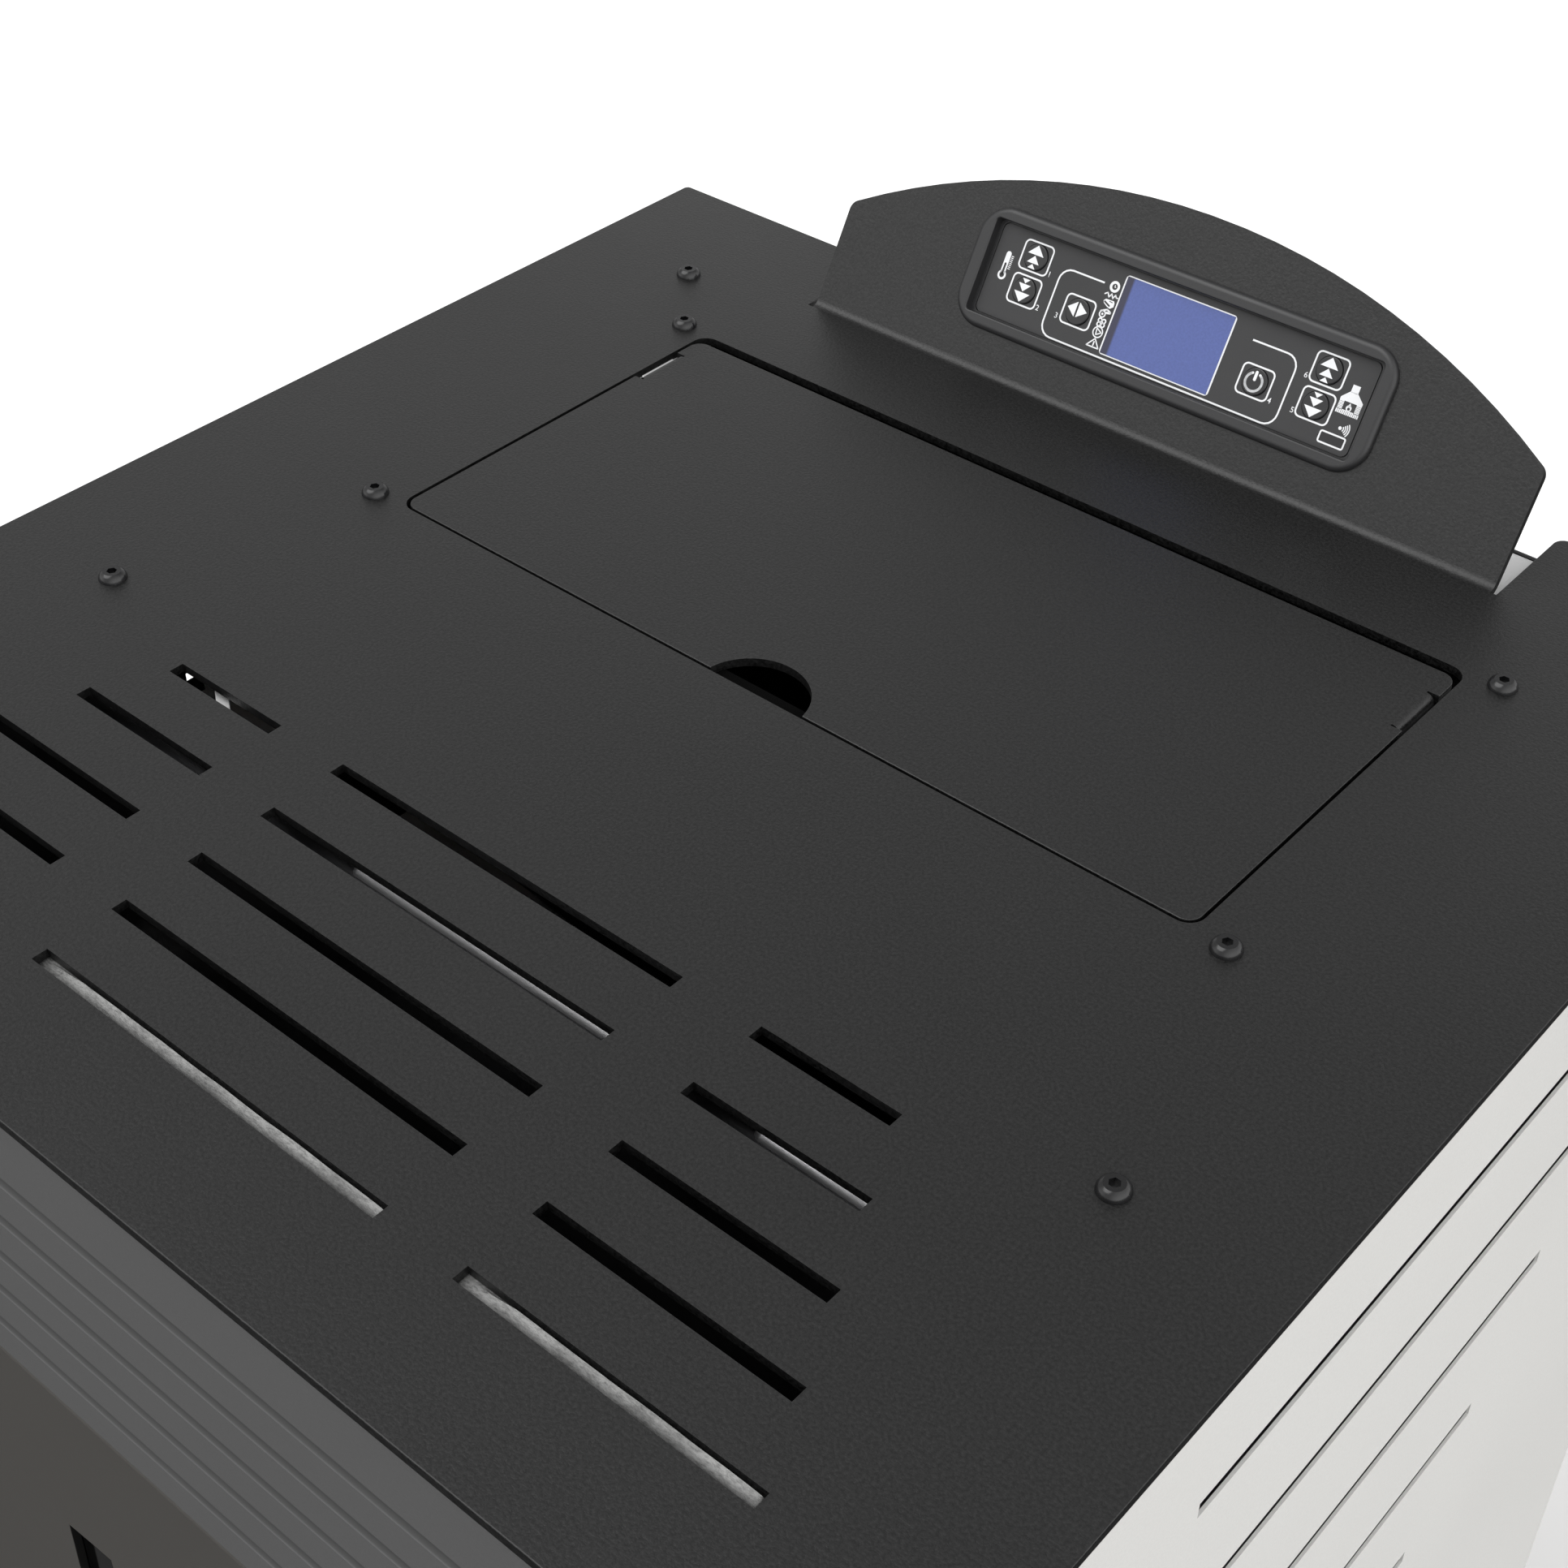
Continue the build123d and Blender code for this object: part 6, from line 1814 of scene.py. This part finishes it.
@dataclass
class DuctFoil:
    """The foil-faced pad on the duct's front flange, pressed up into the front slots."""

    shelf: FinishShelf
    half_width: float = 0.2015
    front: float = -0.2155
    back: float = -0.1995
    bottom: float = 0.9356
    level: float = 0.9462
    columns: int = 600
    rows: int = 27
    wave: float = 0.0006
    fold_share: float = 0.6
    fold: tuple[float, ...] = (160.0, 1.9, 57.0, 90.0)
    crease: Spot = (500.0, 2.6, 130.0)
    bulge: float = 0.0024
    slot_front: float = -0.2084
    slot_back: float = -0.2033
    slots: tuple[Point, ...] = ((-0.1901, -0.0959), (-0.0681, 0.0681), (0.0959, 0.1901))
    rise_start: float = 0.003
    rise_run: float = 0.014
    fall_run: float = 0.001
    crest: float = 0.82
    smooth_below: float = math.radians(50)

    def build(self) -> None:
        """Models the pad: a fine sheet pushed up in soft ridges, then drawn down to the flange."""
        Bench.clear()
        bpy.ops.mesh.primitive_grid_add(
            x_subdivisions=self.columns, y_subdivisions=self.rows, size=1
        )
        piece = bpy.context.object
        piece.name = "duct_foil"
        piece.scale = (2 * self.half_width, self.back - self.front, 1)
        piece.location = (0, (self.back + self.front) / 2, self.level)
        Bench.apply()
        for point in piece.data.vertices:
            point.co.z += self.lift(point.co.x, point.co.y)
        with EditMode():
            bpy.ops.mesh.extrude_region_move(
                TRANSFORM_OT_translate={"value": (0, 0, 2 * (self.bottom - self.level))}
            )
        for point in piece.data.vertices:
            point.co.z = max(point.co.z, self.bottom)
        with EditMode():
            bpy.ops.mesh.normals_make_consistent(inside=False)
        Bench.smooth(self.smooth_below)
        self.shelf.coat(piece, self.shelf.foil)
        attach(piece, "casing")
        LOG.info("duct foil laid on the flange")

    def lift(self, x: float, y: float) -> float:
        """Gives the height of the crumples above the pad's level at a point.

        Args:
            x: the point's place along the slots.
            y: the point's place across them.

        Returns:
            The height, in metres.
        """
        pitch, waver, waver_pitch, slant = self.fold
        folds = math.sin(x * pitch + waver * math.sin(x * waver_pitch) + y * slant)
        pitch, waver, waver_pitch = self.crease
        creases = math.sin(y * pitch + waver * math.sin(x * waver_pitch))
        share = self.fold_share
        crumple = share * (0.5 + 0.5 * folds) + (1 - share) * (0.5 + 0.5 * creases)
        return self.wave * crumple + self.bulge * self.swell(x, y)

    def swell(self, x: float, y: float) -> float:
        """Gives how far the pad swells into a slot.

        Args:
            x: the point's place along the slots.
            y: the point's place across them.

        Returns:
            The share of the full swelling, 0 beside the slots.
        """
        across = (y - self.slot_front) / (self.slot_back - self.slot_front)
        if not 0 < across < 1:
            return 0.0
        for start, end in self.slots:
            if start < x < end:
                rise = (x - start - self.rise_start) / self.rise_run
                along = max(0.0, min(1.0, rise, (end - x) / self.fall_run))
                return along * min(across / self.crest, (1 - across) / (1 - self.crest))
        return 0.0


@dataclass
class DuctEdge:
    """Bright bars on the duct's rolled rear edge, seen through the second slot row; they stand for
    its highlight and run only where that highlight shows.
    """

    shelf: FinishShelf
    radius: float = 0.006
    rounding: float = 0.0036
    rounding_segments: int = 4
    facets: int = 48
    y: float = -0.1122
    z: float = 0.9288
    # Painted highlight: each run starts where the highlight on the rolled edge begins to show.
    runs: tuple[Point, ...] = ((-0.108, -0.090), (-0.048, 0.075), (0.1075, 0.2015))

    def build(self) -> None:
        """Models each bead as a round bar and joins them."""
        bars = []
        for start, end in self.runs:
            Bench.clear()
            bpy.ops.mesh.primitive_cylinder_add(
                vertices=self.facets,
                radius=self.radius,
                depth=end - start,
                location=((start + end) / 2, self.y, self.z),
                rotation=(0, math.pi / 2, 0),
            )
            bars.append(Bench.apply())
            Bench.soften(bars[-1], self.rounding, self.rounding_segments)
        piece = Bench.join(bars, "duct_edge_bead")
        Bench.smooth()
        self.shelf.coat(piece, self.shelf.bead)
        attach(piece, "casing")
        LOG.info("duct edge beads laid")


@dataclass
class InnerSheets:
    """Flat inner parts that show only through a slit or a cut-out.

    Each block is given by its lowest and its highest corner.
    """

    shelf: FinishShelf
    felts: tuple[tuple[Spot, Spot], ...] = (
        ((-0.2484, -0.046, 0.845), (-0.2478, -0.0255, 0.8527)),
        ((-0.2484, -0.0285, 0.8527), (-0.2478, -0.0255, 0.858)),
        ((-0.2484, -0.046, 0.8527), (-0.2478, -0.0325, 0.858)),
    )
    tab: tuple[Spot, Spot] = ((-0.1300, -0.1035, 0.9436), (-0.1230, -0.0915, 0.9446))
    tab_lean: float = 1.45
    wool_pad: tuple[Spot, Spot] = ((-0.2482, -0.015, 0.732), (-0.2442, 0.105, 0.772))
    flange: tuple[Spot, Spot] = ((-0.2, 0.207, 0.946), (0.2, 0.2346, 0.9466))
    strip: tuple[Spot, Spot] = ((-0.2, 0.2346, 0.9436), (0.2, 0.237, 0.9469))
    ear_edge: tuple[Spot, Spot] = ((-0.15795, 0.1236, 0.9480), (-0.1566, 0.1402, 0.94945))
    rounding_share: float = 0.3

    def slab(
        self,
        name: str,
        ends: tuple[Spot, Spot],
        finish: Finish,
        body: str = "casing",
        lean: float = 0.0,
    ) -> None:
        """Models one flat block between two corners.

        Args:
            name: the piece's name.
            ends: its lowest and its highest corner.
            finish: its finish.
            body: the CAD body that carries it.
            lean: how far its sides run along X for each step towards the front.
        """
        low, high = (Vector(end) for end in ends)
        middle = (low + high) / 2
        Bench.clear()
        bpy.ops.mesh.primitive_cube_add(size=1, location=middle)
        piece = bpy.context.object
        piece.name = name
        piece.scale = high - low
        Bench.apply()
        for point in piece.data.vertices:
            point.co.x += (middle.y - point.co.y) * lean
        Bench.soften(piece, min(piece.dimensions) * self.rounding_share)
        self.shelf.coat(piece, finish)
        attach(piece, body)
        LOG.info("fitted %s", name)

    def build(self) -> None:
        """Fits the pads behind the left side panel, the tab, the flange and the painted highlight
        on the ear's bend.
        """
        shelf = self.shelf
        for number, felt in enumerate(self.felts, start=1):
            self.slab(f"side_felt_{number}", felt, shelf.wool)
        self.slab("duct_tab", self.tab, shelf.zinc, lean=self.tab_lean)
        self.slab("side_wool_pad", self.wool_pad, shelf.wool)
        self.slab("rear_flange", self.flange, shelf.zinc)
        self.slab("rear_flange_strip", self.strip, shelf.screw)
        # Painted highlight: a thin bright slab on the ear's bend.
        self.slab("ear_bend_highlight", self.ear_edge, shelf.strip, body="lid")


# ---------------------------------------------------------------- studio


@dataclass
class Studio:
    """Floor, soft light and the camera at the photograph's viewing angle.

    Each sky span says from where to where along an axis a part of the sky grows.
    """

    shelf: FinishShelf
    eye: Spot = (0.3892, -0.4321, 1.400)
    azimuth: float = 40.634
    elevation: float = 39.651
    roll: float = 0.373
    focal: float = 55.44
    film: float = 36.0
    near: float = 0.01
    floor_size: float = 60.0
    sky_levels: Point = (0.51, 0.92)
    sky_span: Point = (0.3, -0.8)
    right_level: float = 1.4
    right_span: Point = (0.2, 0.9)
    horizon_level: float = 0.3
    horizon_span: Point = (0.62, 0.38)
    horizon_behind: Point = (0.1, 0.5)
    glow_level: float = 0.55
    glow_span: Point = (-0.25, -0.65)
    glow_before: Point = (-0.2, -0.6)
    key: float = 1.5
    key_spread: float = 50.0
    key_from: Spot = (-1.0, -1.0, 2.6)

    def camera(self) -> None:
        """Sets up the camera."""
        turn, drop, roll = (math.radians(a) for a in (self.azimuth, self.elevation, self.roll))
        look = Vector(
            (-math.sin(turn) * math.cos(drop), math.cos(turn) * math.cos(drop), -math.sin(drop))
        )
        right = Vector((math.cos(turn), math.sin(turn), 0))
        up = right.cross(look)
        rolled_right = right * math.cos(roll) + up * math.sin(roll)
        rolled_up = up * math.cos(roll) - right * math.sin(roll)
        data = bpy.data.cameras.new("photo_camera")
        data.lens = self.focal
        data.sensor_width = self.film
        data.clip_start = self.near
        camera = bpy.data.objects.new("photo_camera", data)
        bpy.context.scene.collection.objects.link(camera)
        axes = Matrix((rolled_right, rolled_up, -look)).transposed().to_4x4()
        camera.matrix_world = Matrix.Translation(self.eye) @ axes
        bpy.context.scene.camera = camera

    def floor(self) -> None:
        """Lays the pale floor."""
        Bench.clear()
        bpy.ops.mesh.primitive_plane_add(size=self.floor_size)
        paper = bpy.context.object
        paper.name = "studio_floor"
        self.shelf.coat(paper, self.shelf.floor)

    def sky(self) -> None:
        """Builds the sky, brighter in front than behind; the camera itself sees it white."""
        world = bpy.data.worlds.new("studio_sky")
        bpy.context.scene.world = world
        world.use_nodes = True
        world.node_tree.nodes.clear()
        build = Shader(world.node_tree)
        where = build.node("TexCoord").outputs["Generated"]
        right, back, up = (build.part(where, axis) for axis in Axis)
        broad = build.add(
            build.spread(back, self.sky_span, self.sky_levels),
            build.spread(right, self.right_span, (0.0, self.right_level)),
        )
        low = build.spread(up, self.horizon_span, (0.0, self.horizon_level))
        left = build.spread(right, self.glow_span, (0.0, self.glow_level))
        extra = build.add(
            build.times(low, build.spread(back, self.horizon_behind)),
            build.times(left, build.spread(back, self.glow_before)),
        )
        seen = build.node("LightPath").outputs["Is Camera Ray"]
        lit = build.maths(Maths.LARGER, build.add(broad, extra), seen)
        white = build.feed(build.node("Background"), Color=(1.0, 1.0, 1.0), Strength=lit)
        build.feed(build.node("OutputWorld"), Surface=white.outputs[0])

    def key_light(self) -> None:
        """Hangs the soft key light."""
        sun = bpy.data.lights.new("key_light", "SUN")
        sun.energy = self.key
        sun.angle = math.radians(self.key_spread)
        holder = bpy.data.objects.new("key_light", sun)
        bpy.context.scene.collection.objects.link(holder)
        holder.location = self.key_from
        holder.rotation_euler = Vector(self.key_from).to_track_quat("Z", "Y").to_euler()

    def tone(self) -> None:
        """Shows light as it is, with no film curve."""
        view = bpy.context.scene.view_settings
        view.view_transform = "Standard"
        view.look = "None"

    def build(self) -> None:
        """Builds the whole studio."""
        self.camera()
        self.floor()
        self.sky()
        self.key_light()
        self.tone()


def corners(bounds: object) -> list[list[float]]:
    return [[float(value) for value in corner] for corner in bounds]


def main() -> None:
    """Builds the studio and every dressed piece."""
    logging.basicConfig(level=logging.INFO, format="%(name)s: %(message)s")
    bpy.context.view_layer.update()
    shelf = FinishShelf()
    Studio(shelf).build()
    shelf.dress_nodes()
    ControlPanel(shelf).build()
    DuctFoil(shelf).build()
    DuctEdge(shelf).build()
    InnerSheets(shelf).build()
    Bench.clear()


if __name__ == "__main__":
    main()
